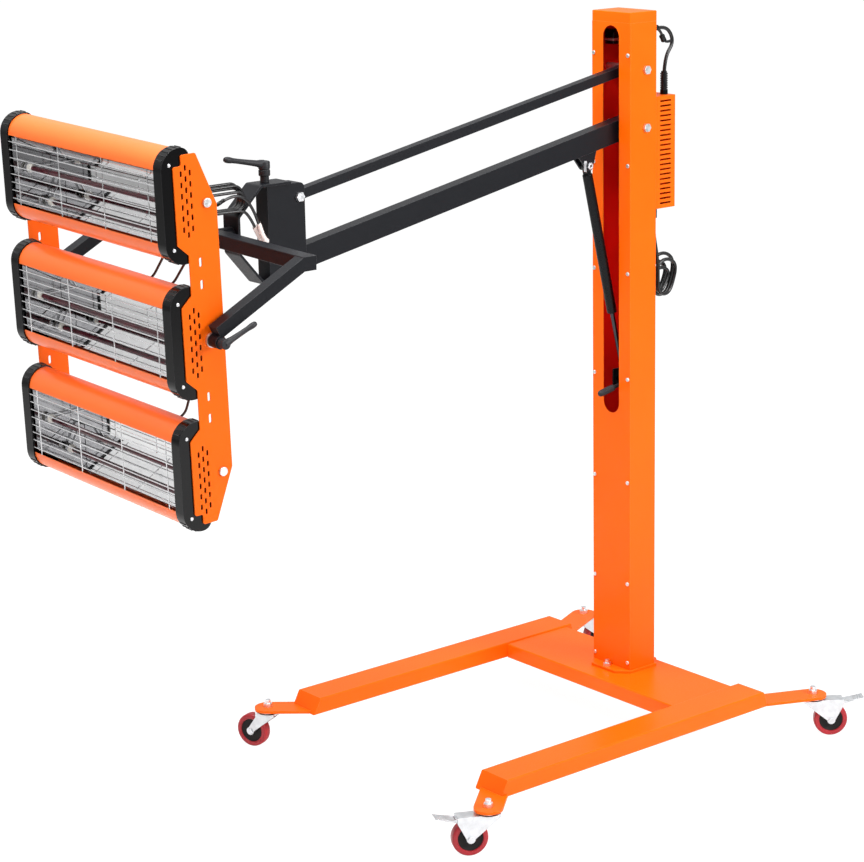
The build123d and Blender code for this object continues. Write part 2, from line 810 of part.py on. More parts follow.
# Lower arm: a box tube with bushes at both ends and two ears for the gas spring
with BuildPart() as lower_arm:
    with BuildSketch(arm_side):
        with Locations((-arm_length / 2, 0)):
            SlotCenterToCenter(arm_length, arm_height)
    extrude(amount=arm_width / 2, both=True)
    with BuildSketch(arm_side):
        with Locations((-arm_length / 2, 0)):
            Rectangle(arm_length + 2 * arm_height, arm_height - 2 * arm_wall)
    extrude(amount=arm_width / 2 - arm_wall, both=True, mode=Mode.SUBTRACT)
    with BuildSketch(arm_side):
        with Locations((0, 0), (-arm_length, 0)):
            Circle(bush_radius)
    extrude(amount=arm_width / 2, both=True)
    for side in (-1, 1):
        with BuildSketch(arm_side.offset(side * (eye_width / 2 + seat_gap))):
            with Locations((-spring_pin_along, -spring_pin_drop)):
                Circle(ear_radius)
            with Locations((-spring_pin_along, arm_wall - arm_height / 2)):
                Rectangle(2 * ear_half_length, arm_wall, align=(Align.CENTER, Align.MAX))
            make_hull()
        extrude(amount=side * ear_thickness)
    with BuildSketch(arm_side):
        with Locations((0, 0), (-arm_length, 0)):
            Circle(pivot_pin_radius + pin_gap)
        with Locations((-spring_pin_along, -spring_pin_drop)):
            Circle(spring_pin_radius + screw_gap)
    extrude(amount=arm_width, both=True, mode=Mode.SUBTRACT)
lower_arm.part.label = "lower_arm"
export_step(lower_arm.part, "parts/lower_arm.step")

with BuildPart() as upper_link:
    with BuildSketch(link_side):
        with Locations((-arm_length / 2, 0)):
            Rectangle(arm_length + 2 * link_overhang, link_size)
    extrude(amount=link_size / 2, both=True)
    with BuildSketch(link_side):
        with Locations((-arm_length / 2, 0)):
            Rectangle(arm_length + 4 * link_overhang, link_size - 2 * link_wall)
    extrude(amount=link_size / 2 - link_wall, both=True, mode=Mode.SUBTRACT)
    with BuildSketch(link_side):
        with Locations((0, 0), (-arm_length, 0)):
            Circle(shoulder_radius)
    extrude(amount=link_size / 2, both=True)
    with BuildSketch(link_side):
        with Locations((0, 0), (-arm_length, 0)):
            Circle(pivot_pin_radius + pin_gap)
    extrude(amount=link_size, both=True, mode=Mode.SUBTRACT)
upper_link.part.label = "upper_link"
export_step(upper_link.part, "parts/upper_link.step")

# Gas spring: cylinder under the arm, rod down to the ears inside the column
ear_outer = eye_width / 2 + seat_gap + ear_thickness
with BuildPart() as spring_pin_part:
    with BuildSketch(spring_side):
        Circle(spring_pin_radius)
    extrude(amount=ear_outer + spring_pin_head_height, both=True)
    for side in (-1, 1):
        with BuildSketch(spring_side.offset(side * ear_outer)):
            RegularPolygon(spring_pin_head, side_count=6)
        extrude(amount=side * spring_pin_head_height)
spring_pin_part.part.label = "spring_pin"
export_step(spring_pin_part.part, "parts/spring_pin.step")

with BuildPart() as gas_cylinder:
    with BuildSketch(spring_axis.offset(-cylinder_start)):
        Circle(cylinder_radius)
    extrude(amount=-cylinder_length)
    fillet(gas_cylinder.edges().filter_by(GeomType.CIRCLE), radius=cylinder_wall)
    with BuildSketch(spring_side):
        Circle(eye_radius)
        with Locations((0, -cylinder_start - cylinder_wall)):
            Rectangle(eye_radius, cylinder_start + cylinder_wall, align=(Align.CENTER, Align.MIN))
    extrude(amount=eye_width / 2, both=True)
    with BuildSketch(spring_axis.offset(-cylinder_start - 2 * cylinder_wall)):
        Circle(cylinder_radius - cylinder_wall)
    extrude(amount=-cylinder_length + 4 * cylinder_wall, mode=Mode.SUBTRACT)
    with BuildSketch(spring_axis.offset(-cylinder_start - cylinder_length / 2)):
        Circle(rod_radius + pin_gap)
    extrude(amount=-cylinder_length, mode=Mode.SUBTRACT)
    with BuildSketch(spring_side):
        Circle(spring_pin_radius + pin_gap)
    extrude(amount=eye_width, both=True, mode=Mode.SUBTRACT)
gas_cylinder.part.label = "gas_cylinder"
export_step(gas_cylinder.part, "parts/gas_cylinder.step")

rod_top = cylinder_start + cylinder_length - rod_inside
with BuildPart() as gas_rod:
    with BuildSketch(spring_axis.offset(-rod_top)):
        Circle(rod_radius)
    extrude(amount=rod_top - spring_run)
    with BuildSketch(spring_side):
        with Locations((0, -spring_run)):
            Circle(eye_radius)
    extrude(amount=eye_width / 2, both=True)
    with BuildSketch(spring_side):
        with Locations((0, -spring_run)):
            Circle(foot_pin_radius)
    extrude(amount=foot_pin_length / 2, both=True)
gas_rod.part.label = "gas_rod"
export_step(gas_rod.part, "parts/gas_rod.step")

release_x = eye_width / 2 + seat_gap + release_hub_width / 2
release = Pos(release_x, spring_foot_y, spring_foot_z) * Rot(X=release_slope)
release_side = Plane(release * Plane.YZ.location)
release_axis = Plane(release * Plane.XZ.location)
with BuildPart() as release_lever:
    with BuildSketch(release_axis):
        Circle(release_rod_radius)
    extrude(amount=release_reach)
    with BuildSketch(release_axis.offset(release_reach - release_grip_length)):
        Circle(release_grip_radius)
    extrude(amount=release_grip_length)
    fillet(release_lever.edges().filter_by(GeomType.CIRCLE).group_by(Axis.Y)[0], radius=release_rod_radius)
    with BuildSketch(release_side):
        Circle(release_hub_radius)
    extrude(amount=release_hub_width / 2, both=True)
    with BuildSketch(release_side):
        Circle(foot_pin_radius + pin_gap)
    extrude(amount=release_hub_width, both=True, mode=Mode.SUBTRACT)
release_lever.part.label = "release_lever"
export_step(release_lever.part, "parts/release_lever.step")

foot_ear_inner = foot_ear_gap / 2
foot_ear_outer = foot_ear_inner + foot_ear_thickness
bracket_rear = shell_rear - column_wall
with BuildPart() as spring_foot_bracket:
    with BuildSketch(Plane.YZ):
        with Locations((bracket_rear, spring_foot_z)):
            Rectangle(foot_ear_reach, foot_ear_height, align=(Align.MAX, Align.CENTER))
    extrude(amount=foot_ear_outer, both=True)
    with BuildSketch(Plane.YZ):
        with Locations((bracket_rear - foot_ear_thickness, spring_foot_z)):
            Rectangle(foot_ear_reach, 2 * foot_ear_height, align=(Align.MAX, Align.CENTER))
    extrude(amount=foot_ear_inner, both=True, mode=Mode.SUBTRACT)
    for side in (-1, 1):
        with BuildSketch(Plane.YZ.offset(side * foot_ear_outer)):
            with Locations((spring_foot_y, spring_foot_z)):
                RegularPolygon(spring_pin_head, side_count=6)
        extrude(amount=side * spring_pin_head_height)
spring_foot_bracket.part.label = "spring_foot_bracket"
export_step(spring_foot_bracket.part, "parts/spring_foot_bracket.step")

# Bracket on the ends of the arms: a folded box, open to the rear, bored for the clamp bolt
with BuildPart() as arm_bracket:
    with BuildSketch(Plane.YZ):
        with BuildLine():
            Polyline(
                (box_front, box_bottom),
                (box_front, box_top),
                (box_rear, box_top),
                (box_rear, box_bottom + box_heel),
                (box_rear - box_heel, box_bottom),
                close=True,
            )
        make_face()
    extrude(amount=box_half_width, both=True)
    rear_top = arm_bracket.edges().filter_by(Axis.X).group_by(Axis.Z)[-1].sort_by(Axis.Y)[-1]
    fillet(rear_top, radius=box_corner)
    with BuildSketch(Plane.YZ):
        with Locations((box_front + box_wall, (box_top + box_bottom) / 2)):
            Rectangle(
                2 * (box_rear - box_front),
                box_top - box_bottom - 2 * box_wall,
                align=(Align.MIN, Align.CENTER),
            )
    extrude(amount=box_inner, both=True, mode=Mode.SUBTRACT)
    with BuildSketch(Plane.YZ):
        with Locations(*[(front_pivot_y, height) for height in front_pivot_heights]):
            Circle(pivot_pin_radius + screw_gap)
    extrude(amount=2 * box_half_width, both=True, mode=Mode.SUBTRACT)
    with BuildSketch(Plane.XY.offset(box_bottom - overrun)):
        with Locations((0, pan_y)):
            Circle(pan_bolt_radius + screw_gap)
    extrude(amount=box_top - box_bottom + 2 * overrun, mode=Mode.SUBTRACT)
arm_bracket.part.label = "arm_bracket"
export_step(arm_bracket.part, "parts/arm_bracket.step")

# Clevis that turns on the bracket: a strap bent round the front of the box
with BuildPart() as yoke_strap:
    with BuildSketch(Plane.YZ):
        with BuildLine():
            strap_line = FilletPolyline(
                (pan_y + strap_tail, strap_top),
                (strap_bend_y, strap_top),
                (strap_web_y - strap_thickness / 2, strap_web_top),
                (strap_web_y - strap_thickness / 2, strap_web_bottom),
                (strap_bend_y, strap_low),
                (pan_y + strap_foot, strap_low),
                radius=strap_bend_radius,
            )
            offset(strap_line, amount=strap_thickness, side=Side.LEFT)
        make_face()
    extrude(amount=strap_width / 2, both=True)
    with BuildSketch(Plane.XY.offset(strap_low - overrun)):
        with Locations((0, pan_y)):
            Circle(pan_bolt_radius + pin_gap)
    extrude(amount=strap_top - strap_low + 2 * overrun, mode=Mode.SUBTRACT)
    with BuildSketch(Plane.XZ.offset(-strap_web_y - strap_thickness)):
        with Locations((0, roll_z)):
            Circle(roll_bolt_radius + screw_gap)
    extrude(amount=2 * strap_thickness, mode=Mode.SUBTRACT)
yoke_strap.part.label = "yoke_strap"
export_step(yoke_strap.part, "parts/yoke_strap.step")

# Clamp lever on the upright bolt: collar, hub and a handle that rises toward the lamps
pan_hub_z = pan_lever_z + clamp_collar_height
with BuildPart() as pan_lever:
    with BuildSketch(Plane.XY.offset(pan_lever_z)):
        with Locations((0, pan_y)):
            Circle(clamp_collar_radius)
    extrude(amount=clamp_collar_height)
    with BuildSketch(Plane.XY.offset(pan_hub_z)):
        with Locations((0, pan_y)):
            Circle(clamp_hub_radius)
    extrude(amount=clamp_hub_height)
    with BuildSketch(Plane.YZ):
        with Locations((pan_y, pan_hub_z + clamp_hub_height - clamp_thick / 2)):
            Circle(clamp_thick / 2)
        with Locations((pan_y - clamp_reach, pan_hub_z + clamp_hub_height - clamp_thick / 2 + clamp_rise)):
            Circle(clamp_tip_radius)
        make_hull()
    extrude(amount=clamp_tip_radius, both=True)
    with BuildSketch(Plane.XY.offset(pan_lever_z)):
        with Locations((0, pan_y)):
            Circle(pan_bolt_radius + pin_gap)
    extrude(amount=clamp_collar_height + seat_gap, mode=Mode.SUBTRACT)
pan_lever.part.label = "pan_lever"
export_step(pan_lever.part, "parts/pan_lever.step")

# Yoke: a cross tube with an arm down each side of the lamp head
slope_sine = math.sin(math.radians(yoke_arm_slope))
slope_cosine = math.cos(math.radians(yoke_arm_slope))
arm_top_offset = yoke_arm_lift + yoke_arm_thickness / 2
arm_low_offset = yoke_arm_lift - yoke_arm_thickness / 2
bar_rear = tilt_forward + bar_depth / 2
bar_top = tilt_drop + bar_height / 2
bar_low = tilt_drop - bar_height / 2
web_front = strap_web_y - strap_thickness / 2
boss_length = web_front - (roll_y + bar_depth / 2) - seat_gap
yoke_arm_inner = yoke_half_span - yoke_arm_width

with BuildPart() as yoke_frame:
    with BuildSketch(yoke_side):
        with Locations((tilt_forward, tilt_drop)):
            Rectangle(bar_depth, bar_height)
    extrude(amount=yoke_half_span, both=True)
    fillet(yoke_frame.edges().filter_by(lambda edge: edge.length > yoke_half_span), radius=bar_round)
    for side in (-1, 1):
        with BuildSketch(yoke_side.offset(side * yoke_arm_inner)):
            with BuildLine():
                Polyline(
                    (bar_rear, bar_top),
                    ((bar_top * slope_cosine - arm_top_offset) / slope_sine, bar_top),
                    (
                        yoke_tip * slope_cosine - arm_top_offset * slope_sine,
                        yoke_tip * slope_sine + arm_top_offset * slope_cosine,
                    ),
                    (
                        yoke_tip * slope_cosine - arm_low_offset * slope_sine,
                        yoke_tip * slope_sine + arm_low_offset * slope_cosine,
                    ),
                    ((bar_low * slope_cosine - arm_low_offset) / slope_sine, bar_low),
                    (bar_rear, bar_low),
                    close=True,
                )
            make_face()
            Circle(tilt_boss_radius)
        extrude(amount=side * yoke_arm_width)
    with BuildSketch(yoke_side):
        with Locations((tilt_forward, tilt_drop)):
            Rectangle(bar_depth - 2 * bar_wall, bar_height - 2 * bar_wall)
    extrude(amount=yoke_half_span - bar_wall, both=True, mode=Mode.SUBTRACT)
    with BuildSketch(Plane.XZ.offset(-roll_y - bar_depth / 2)):
        with Locations((0, roll_z)):
            Circle(roll_boss_radius)
    extrude(amount=-boss_length)
    with BuildSketch(Plane.XZ.offset(-roll_y)):
        with Locations((0, roll_z)):
            Circle(roll_bolt_radius + pin_gap)
    extrude(amount=bar_depth + boss_length, both=True, mode=Mode.SUBTRACT)
    with BuildSketch(yoke_side):
        Circle(tilt_bolt_radius + pin_gap)
    extrude(amount=yoke_half_span + overrun, both=True, mode=Mode.SUBTRACT)
yoke_frame.part.label = "yoke_frame"
export_step(yoke_frame.part, "parts/yoke_frame.step")

web_rear = web_front + strap_thickness
bar_front = roll_y - bar_depth / 2
with BuildPart() as roll_bolt:
    with BuildSketch(Plane.XZ.offset(-web_rear)):
        with Locations((0, roll_z)):
            RegularPolygon(roll_nut_flats / 2, side_count=6, major_radius=False)
    extrude(amount=-roll_nut_height)
    with BuildSketch(Plane.XZ.offset(-web_rear)):
        with Locations((0, roll_z)):
            Circle(roll_bolt_radius)
    extrude(amount=web_rear - bar_front + seat_gap + roll_nut_height)
    with BuildSketch(Plane.XZ.offset(-bar_front + seat_gap)):
        with Locations((0, roll_z)):
            RegularPolygon(roll_nut_flats / 2, side_count=6, major_radius=False)
    extrude(amount=roll_nut_height)
roll_bolt.part.label = "roll_bolt"
export_step(roll_bolt.part, "parts/roll_bolt.step")

# Tilt studs on the head's side plates, with a washer disc inside each yoke arm
plate_inner = side_outer - side_thickness
stud_nut_x = yoke_half_span + seat_gap
with BuildPart() as tilt_bolts:
    for side in (-1, 1):
        with BuildSketch(yoke_side.offset(side * plate_inner)):
            Circle(tilt_bolt_radius)
        extrude(amount=side * (stud_nut_x + tilt_nut_height - plate_inner))
        with BuildSketch(yoke_side.offset(side * side_outer)):
            Circle(tilt_washer_radius)
        extrude(amount=side * (yoke_arm_inner - side_outer - seat_gap))
    with BuildSketch(head_side.offset(-stud_nut_x)):
        RegularPolygon(tilt_nut_flats / 2, side_count=6, major_radius=False)
    extrude(amount=-tilt_nut_height)
tilt_bolts.part.label = "tilt_bolts"
export_step(tilt_bolts.part, "parts/tilt_bolts.step")

lever_turn = math.degrees(math.asin(tilt_lever_rise / tilt_lever_reach))
with BuildPart() as tilt_lever:
    with BuildSketch(yoke_side.offset(stud_nut_x)):
        Circle(tilt_lever_hub_radius)
    extrude(amount=tilt_lever_hub_length)
    with BuildSketch(yoke_side.offset(stud_nut_x + tilt_lever_hub_length - tilt_lever_thick)):
        Circle(tilt_lever_tip_radius)
        with Locations((tilt_lever_reach * math.cos(math.radians(lever_turn)), tilt_lever_rise)):
            Circle(tilt_lever_tip_radius)
        make_hull()
    extrude(amount=tilt_lever_thick)
    with BuildSketch(yoke_side.offset(stud_nut_x)):
        Circle(tilt_bolt_radius + pin_gap)
    extrude(amount=tilt_nut_height + seat_gap, mode=Mode.SUBTRACT)
tilt_lever.part.label = "tilt_lever"
export_step(tilt_lever.part, "parts/tilt_lever.step")

# Side plates of the head: sheet with necks between the lamps, vents, slots and bolt holes
neck_top_z = neck_top_share * lamp_pitch
neck_low_z = neck_bottom_share * lamp_pitch
plate_half = [
    (side_rear, side_shoulder),
    (side_tip_rear, side_half_height),
    (side_tip_front, side_half_height),
    (side_tip_front, side_step),
    (side_front, side_step),
    (side_front, neck_top_z + neck_slant),
    (side_neck, neck_top_z),
    (side_neck, neck_low_z),
    (side_front, neck_low_z - neck_slant),
]
plate_outline = plate_half + [(y, -z) for y, z in reversed(plate_half)]
vent_columns = [-1, 0, 1]
gap_slot_spots = [
    (gap_slot_y, side * (gap_slot_center + step * gap_slot_offset)) for side in (-1, 1) for step in (-1, 1)
]

for side_name, side in {"left": -1, "right": 1}.items():
    with BuildPart() as plate:
        with BuildSketch(head_side.offset(side * plate_inner)) as outline:
            with BuildLine():
                Polyline(*plate_outline, close=True)
            make_face()
            fillet(outline.vertices(), radius=side_corner)
            for height in lamp_heights:
                for column in vent_columns:
                    rows = vent_rows if column == 0 else vent_rows - 1
                    vent_y = vent_center_y + column * vent_pitch_y
                    with Locations((vent_y, height * vent_block_pitch / lamp_pitch)):
                        with GridLocations(0, vent_pitch_z, 1, rows):
                            SlotOverall(vent_length, vent_width, rotation=90, mode=Mode.SUBTRACT)
            with Locations(*gap_slot_spots):
                SlotOverall(gap_slot_length, gap_slot_width, rotation=90, mode=Mode.SUBTRACT)
            with Locations((side_bolt_y, lamp_pitch), (side_bolt_y, -lamp_pitch)):
                Circle(side_bolt_radius + screw_gap, mode=Mode.SUBTRACT)
            Circle(tilt_bolt_radius + screw_gap, mode=Mode.SUBTRACT)
        extrude(amount=side * side_thickness)
    plate.part.label = f"{side_name}_plate"
    export_step(plate.part, f"parts/{side_name}_plate.step")

with BuildPart() as plate_bolts:
    for side in (-1, 1):
        with BuildSketch(head_side.offset(side * side_outer)):
            with Locations((side_bolt_y, lamp_pitch), (side_bolt_y, -lamp_pitch)):
                Circle(side_bolt_head)
        extrude(amount=side * side_bolt_head_height)
    fillet(plate_bolts.edges(), radius=sheet_edge)
    for side in (-1, 1):
        with BuildSketch(head_side.offset(side * side_outer)):
            with Locations((side_bolt_y, lamp_pitch), (side_bolt_y, -lamp_pitch)):
                Circle(side_bolt_radius)
        extrude(amount=-side * side_thickness)
plate_bolts.part.label = "plate_bolts"
export_step(plate_bolts.part, "parts/plate_bolts.step")

# Lamps: a bent shell open at the front, a ribbed cap on each end
def lamp_section(center_z):
    with BuildSketch(Plane.XY, mode=Mode.PRIVATE) as section:
        with BuildLine():
            FilletPolyline(
                (lamp_front, center_z + lamp_top_z),
                (lamp_back_y, center_z + lamp_top_z),
                (lamp_rear, center_z + lamp_rear_z),
                (lamp_rear, center_z - lamp_rear_z),
                (lamp_back_y, center_z - lamp_top_z),
                (lamp_front, center_z - lamp_top_z),
                radius=[
                    lamp_dome_radius,
                    lamp_back_radius,
                    lamp_rear_corner,
                    lamp_rear_corner,
                    lamp_back_radius,
                    lamp_dome_radius,
                ],
                close=True,
            )
        make_face()
    return section.sketch


lamp_sections = [lamp_section(height) for height in lamp_heights]
lead_ends = [(x, z) for lead in lamp_lead_runs for x, z in (lead[0], lead[-1])]
back_slope = (lamp_rear - lamp_back_y) / (lamp_top_z - lamp_rear_z)
back_shell = lamp_shell * math.hypot(1, back_slope)
lead_entry_z = lamp_pitch - lamp_lead_runs[0][0][1]
lead_entry_y = lamp_rear - (lead_entry_z - lamp_rear_z) * back_slope

for lamp_name, height, section in zip(lamp_names, lamp_heights, lamp_sections):
    with BuildPart() as lamp_shell_part:
        with BuildSketch(head_side):
            add(section)
            offset(section, amount=-lamp_shell, mode=Mode.SUBTRACT)
            with Locations((lamp_front, height)):
                Rectangle(2 * lamp_lip, 2 * lamp_lip_z, mode=Mode.SUBTRACT)
        extrude(amount=lamp_half_length, both=True)
        with BuildSketch(Plane(head * Plane.XZ.location).offset(-lead_entry_y)):
            with Locations(*lead_ends):
                Circle(lead_radius + cord_gap)
        extrude(amount=lead_inside, both=True, mode=Mode.SUBTRACT)
    lamp_shell_part.part.label = f"lamp_shell_{lamp_name}"
    export_step(lamp_shell_part.part, f"parts/lamp_shell_{lamp_name}.step")

cap_inner_depth = cap_thickness - 2 * lamp_shell
rib_angles = [cap_rib_start + cap_rib_step * rib for rib in range(cap_rib_count)]
dome_center_y = lamp_front + lamp_dome_radius
dome_center_z = lamp_top_z - lamp_dome_radius
rib_spots = [
    (
        dome_center_y + (lamp_dome_radius + cap_margin) * math.cos(math.radians(angle)),
        dome_center_z + (lamp_dome_radius + cap_margin) * math.sin(math.radians(angle)),
    )
    for angle in rib_angles
]
with BuildPart() as lamp_end_caps:
    for side in (-1, 1):
        for height, section in zip(lamp_heights, lamp_sections):
            with BuildSketch(head_side.offset(side * lamp_half_length)):
                offset(section, amount=cap_margin)
            extrude(amount=side * cap_thickness)
            with BuildSketch(head_side.offset(side * (lamp_half_length + cap_rib_inset))):
                for spot_y, spot_z in rib_spots:
                    with Locations((spot_y, height + spot_z), (spot_y, height - spot_z)):
                        Circle(cap_rib_width)
            extrude(amount=side * (cap_thickness - 2 * cap_rib_inset))
            with BuildSketch(head_side.offset(side * lamp_half_length)):
                offset(section, amount=-lamp_shell)
            extrude(amount=side * cap_inner_depth, mode=Mode.SUBTRACT)
lamp_end_caps.part.label = "lamp_end_caps"
export_step(lamp_end_caps.part, "parts/lamp_end_caps.step")

# Mirror sheet behind each heater: a flat back and two flaps that reach the lips
mirror_corner_z = mirror_rear_z + mirror_thickness
mirror_seat_y = lamp_rear - (mirror_corner_z - lamp_rear_z) * back_slope - back_shell - seat_gap
mirror_rear = mirror_seat_y - mirror_thickness
mirror_lip_y = lamp_front + lamp_lip
mirror_lip_z = lamp_lip_z - 2 * lamp_shell
with BuildPart() as lamp_reflectors:
    for height in lamp_heights:
        with BuildSketch(head_side):
            with BuildLine():
                mirror_line = Polyline(
                    (mirror_lip_y, height + mirror_lip_z),
                    (mirror_rear, height + mirror_rear_z),
                    (mirror_rear, height - mirror_rear_z),
                    (mirror_lip_y, height - mirror_lip_z),
                )
                offset(mirror_line, amount=mirror_thickness, side=Side.LEFT)
            make_face()
        extrude(amount=lamp_half_length - mirror_gap, both=True)
lamp_reflectors.part.label = "lamp_reflectors"
export_step(lamp_reflectors.part, "parts/lamp_reflectors.step")

# Guards: eight long wires welded over four upright ones in each opening
wire_y = lamp_front - wire_radius
post_y = wire_y + wire_lap * wire_radius
with BuildPart() as lamp_guards:
    for height in lamp_heights:
        with BuildSketch(head_side):
            with Locations((wire_y, height)):
                with GridLocations(0, wire_pitch, 1, wire_count):
                    Circle(wire_radius)
        extrude(amount=lamp_half_length - wire_inset, both=True)
        with BuildSketch(Plane(head * Plane.XY.location).offset(height)):
            with Locations((0, post_y)):
                with GridLocations(post_pitch, 0, post_count, 1):
                    Circle(wire_radius)
        extrude(amount=lamp_lip_z, both=True)
lamp_guards.part.label = "lamp_guards"
export_step(lamp_guards.part, "parts/lamp_guards.step")

# Quartz heaters held by a ceramic block at each end
heater_half = lamp_half_length - holder_end_gap
with BuildPart() as heater_tubes:
    for height in lamp_heights:
        with BuildSketch(head_side):
            with Locations((heater_y, height)):
                Circle(heater_radius)
        extrude(amount=heater_half - holder_width / 2, both=True)
heater_tubes.part.label = "heater_tubes"
export_step(heater_tubes.part, "parts/heater_tubes.step")

with BuildPart() as tube_holders:
    for side in (-1, 1):
        for height in lamp_heights:
            with BuildSketch(head_side.offset(side * (heater_half - holder_width))):
                with Locations((heater_y - holder_depth, height)):
                    Rectangle(
                        mirror_rear - heater_y + holder_depth,
                        2 * holder_depth,
                        align=(Align.MIN, Align.CENTER),
                    )
            extrude(amount=side * holder_width)
    fillet(tube_holders.edges().filter_by(lambda edge: edge.length > 2 * holder_width), radius=sheet_edge)
    for height in lamp_heights:
        with BuildSketch(head_side):
            with Locations((heater_y, height)):
                Circle(heater_radius + screw_gap)
        extrude(amount=heater_half - holder_width / 2, both=True, mode=Mode.SUBTRACT)
tube_holders.part.label = "tube_holders"
export_step(tube_holders.part, "parts/tube_holders.step")

# Control box on the back of the column
control_rear = shell_rear + control_depth
louvre_y = (shell_rear + control_rear) / 2
louvre_z = (control_top + control_bottom) / 2
switch_heights = [switch_z, switch_z - switch_pitch, switch_z - 2 * switch_pitch]
gland_spots = [(link_gland_x, link_gland_y), (power_gland_x, power_gland_y)]
with BuildPart() as control_box:
    with BuildSketch(Plane.XY.offset(control_bottom)):
        with Locations((0, control_rear)):
            Rectangle(2 * control_half_width, control_depth, align=(Align.CENTER, Align.MAX))
    extrude(amount=control_top - control_bottom)
    rear_edges = control_box.faces().sort_by(Axis.Y)[-1].edges()
    fillet(rear_edges, radius=control_edge)
    with BuildSketch(Plane.XZ.offset(-control_rear + control_wall)):
        with Locations((0, louvre_z)):
            Rectangle(
                2 * (control_half_width - control_wall),
                control_top - control_bottom - 2 * control_wall,
            )
    extrude(amount=control_depth, mode=Mode.SUBTRACT)
    with BuildSketch(Plane.YZ):
        with Locations((louvre_y, louvre_z)):
            with GridLocations(0, louvre_pitch, 1, louvre_count):
                SlotOverall(louvre_length, louvre_height)
    extrude(amount=control_half_width, both=True, mode=Mode.SUBTRACT)
    with BuildSketch(Plane.XZ.offset(-control_rear)):
        with Locations(*[(0, height) for height in switch_heights]):
            Rectangle(switch_width + 2 * switch_frame, switch_height + 2 * switch_frame)
    extrude(amount=switch_frame / 2)
    with BuildSketch(Plane.XZ.offset(-control_rear)):
        with Locations(*[(0, height) for height in switch_heights]):
            Rectangle(switch_width + 2 * seat_gap, switch_height + 2 * seat_gap)
        with Locations((0, knob_z)):
            Circle(knob_shaft_radius + pin_gap)
    extrude(amount=2 * switch_frame, both=True, mode=Mode.SUBTRACT)
    with BuildSketch(Plane.XY.offset(control_top)):
        with Locations((link_gland_x, link_gland_y)):
            Circle(cord_radius + cord_gap)
    extrude(amount=-2 * control_wall, mode=Mode.SUBTRACT)
    with BuildSketch(Plane.XY.offset(control_bottom)):
        with Locations((power_gland_x, power_gland_y)):
            Circle(cord_radius + cord_gap)
    extrude(amount=2 * control_wall, mode=Mode.SUBTRACT)
control_box.part.label = "control_box"
export_step(control_box.part, "parts/control_box.step")

# Rockers rest tipped to their off side
for number, height in enumerate(switch_heights, start=1):
    rocker = Pos(0, control_rear - control_wall / 2, height) * Rot(X=rocker_rest)
    rocker_side = Plane(rocker * Plane.YZ.location)
    with BuildPart() as lamp_switch:
        with BuildSketch(rocker_side):
            with BuildLine():
                Polyline(
                    (-switch_depth / 2, switch_height / 2 - sheet_edge),
                    (0, switch_height / 2),
                    (switch_proud, switch_height / 2),
                    (switch_proud - switch_dip, 0),
                    (switch_proud, -switch_height / 2),
                    (0, -switch_height / 2),
                    (-switch_depth / 2, sheet_edge - switch_height / 2),
                    close=True,
                )
            make_face()
        extrude(amount=switch_width / 2, both=True)
        with BuildSketch(rocker_side):
            Circle(rocker_bore_radius)
        extrude(amount=switch_width / 2, both=True, mode=Mode.SUBTRACT)
    lamp_switch.part.label = f"lamp_switch_{number}"
    export_step(lamp_switch.part, f"parts/lamp_switch_{number}.step")

with BuildPart() as timer_knob:
    with BuildSketch(Plane.XZ.offset(-control_rear - seat_gap)):
        with Locations((0, knob_z)):
            Circle(knob_radius)
            with PolarLocations(knob_radius, knob_flute_count):
                Circle(knob_flute_radius, mode=Mode.SUBTRACT)
    extrude(amount=-knob_height)
    fillet(timer_knob.faces().sort_by(Axis.Y)[-1].edges(), radius=sheet_edge / 2)
    with BuildSketch(Plane.XZ.offset(-control_rear - seat_gap)):
        with Locations((0, knob_z)):
            Circle(knob_shaft_radius)
    extrude(amount=knob_height)
    with BuildSketch(Plane.XZ.offset(-control_rear - seat_gap - knob_height)):
        with Locations((0, knob_z + knob_radius / 2)):
            Rectangle(sheet_edge, knob_radius / 2)
    extrude(amount=-sheet_edge / 2)
timer_knob.part.label = "timer_knob"
export_step(timer_knob.part, "parts/timer_knob.step")

# Ribbed glands where the cords enter the control box
gland_ribs = [control_top + gland_collar + rib * gland_rib_pitch for rib in range(gland_rib_count)]
with BuildPart() as cord_glands:
    with BuildSketch(Plane.XY.offset(control_top)):
        with Locations((link_gland_x, link_gland_y)):
            Circle(gland_radius)
    extrude(amount=gland_collar)
    with BuildSketch(Plane.XY.offset(control_top)):
        with Locations((link_gland_x, link_gland_y)):
            Circle(gland_rib_radius)
    extrude(amount=gland_height)
    for rib_z in gland_ribs:
        with BuildSketch(Plane.XY.offset(rib_z)):
            with Locations((link_gland_x, link_gland_y)):
                Circle(gland_radius)
        extrude(amount=gland_rib_pitch / 2)
    with BuildSketch(Plane.XY.offset(control_bottom)):
        with Locations((power_gland_x, power_gland_y)):
            Circle(gland_radius)
    extrude(amount=-power_gland_height)
    with BuildSketch(Plane.XY.offset(control_top)):
        with Locations((link_gland_x, link_gland_y)):
            Circle(cord_radius + pin_gap)
    extrude(amount=gland_height, mode=Mode.SUBTRACT)
    with BuildSketch(Plane.XY.offset(control_bottom)):
        with Locations((power_gland_x, power_gland_y)):
            Circle(cord_radius + pin_gap)
    extrude(amount=-power_gland_height, mode=Mode.SUBTRACT)
cord_glands.part.label = "cord_glands"
export_step(cord_glands.part, "parts/cord_glands.step")


# Cords
def bend_radii(points):
    radii = []
    for before, corner, after in zip(points, points[1:], points[2:]):
        toward = Vector(*corner) - Vector(*before)
        onward = Vector(*after) - Vector(*corner)
        half_turn = math.radians(toward.get_angle(onward)) / 2
        radii.append(bend_share * min(toward.length, onward.length) / math.tan(half_turn))
    return radii


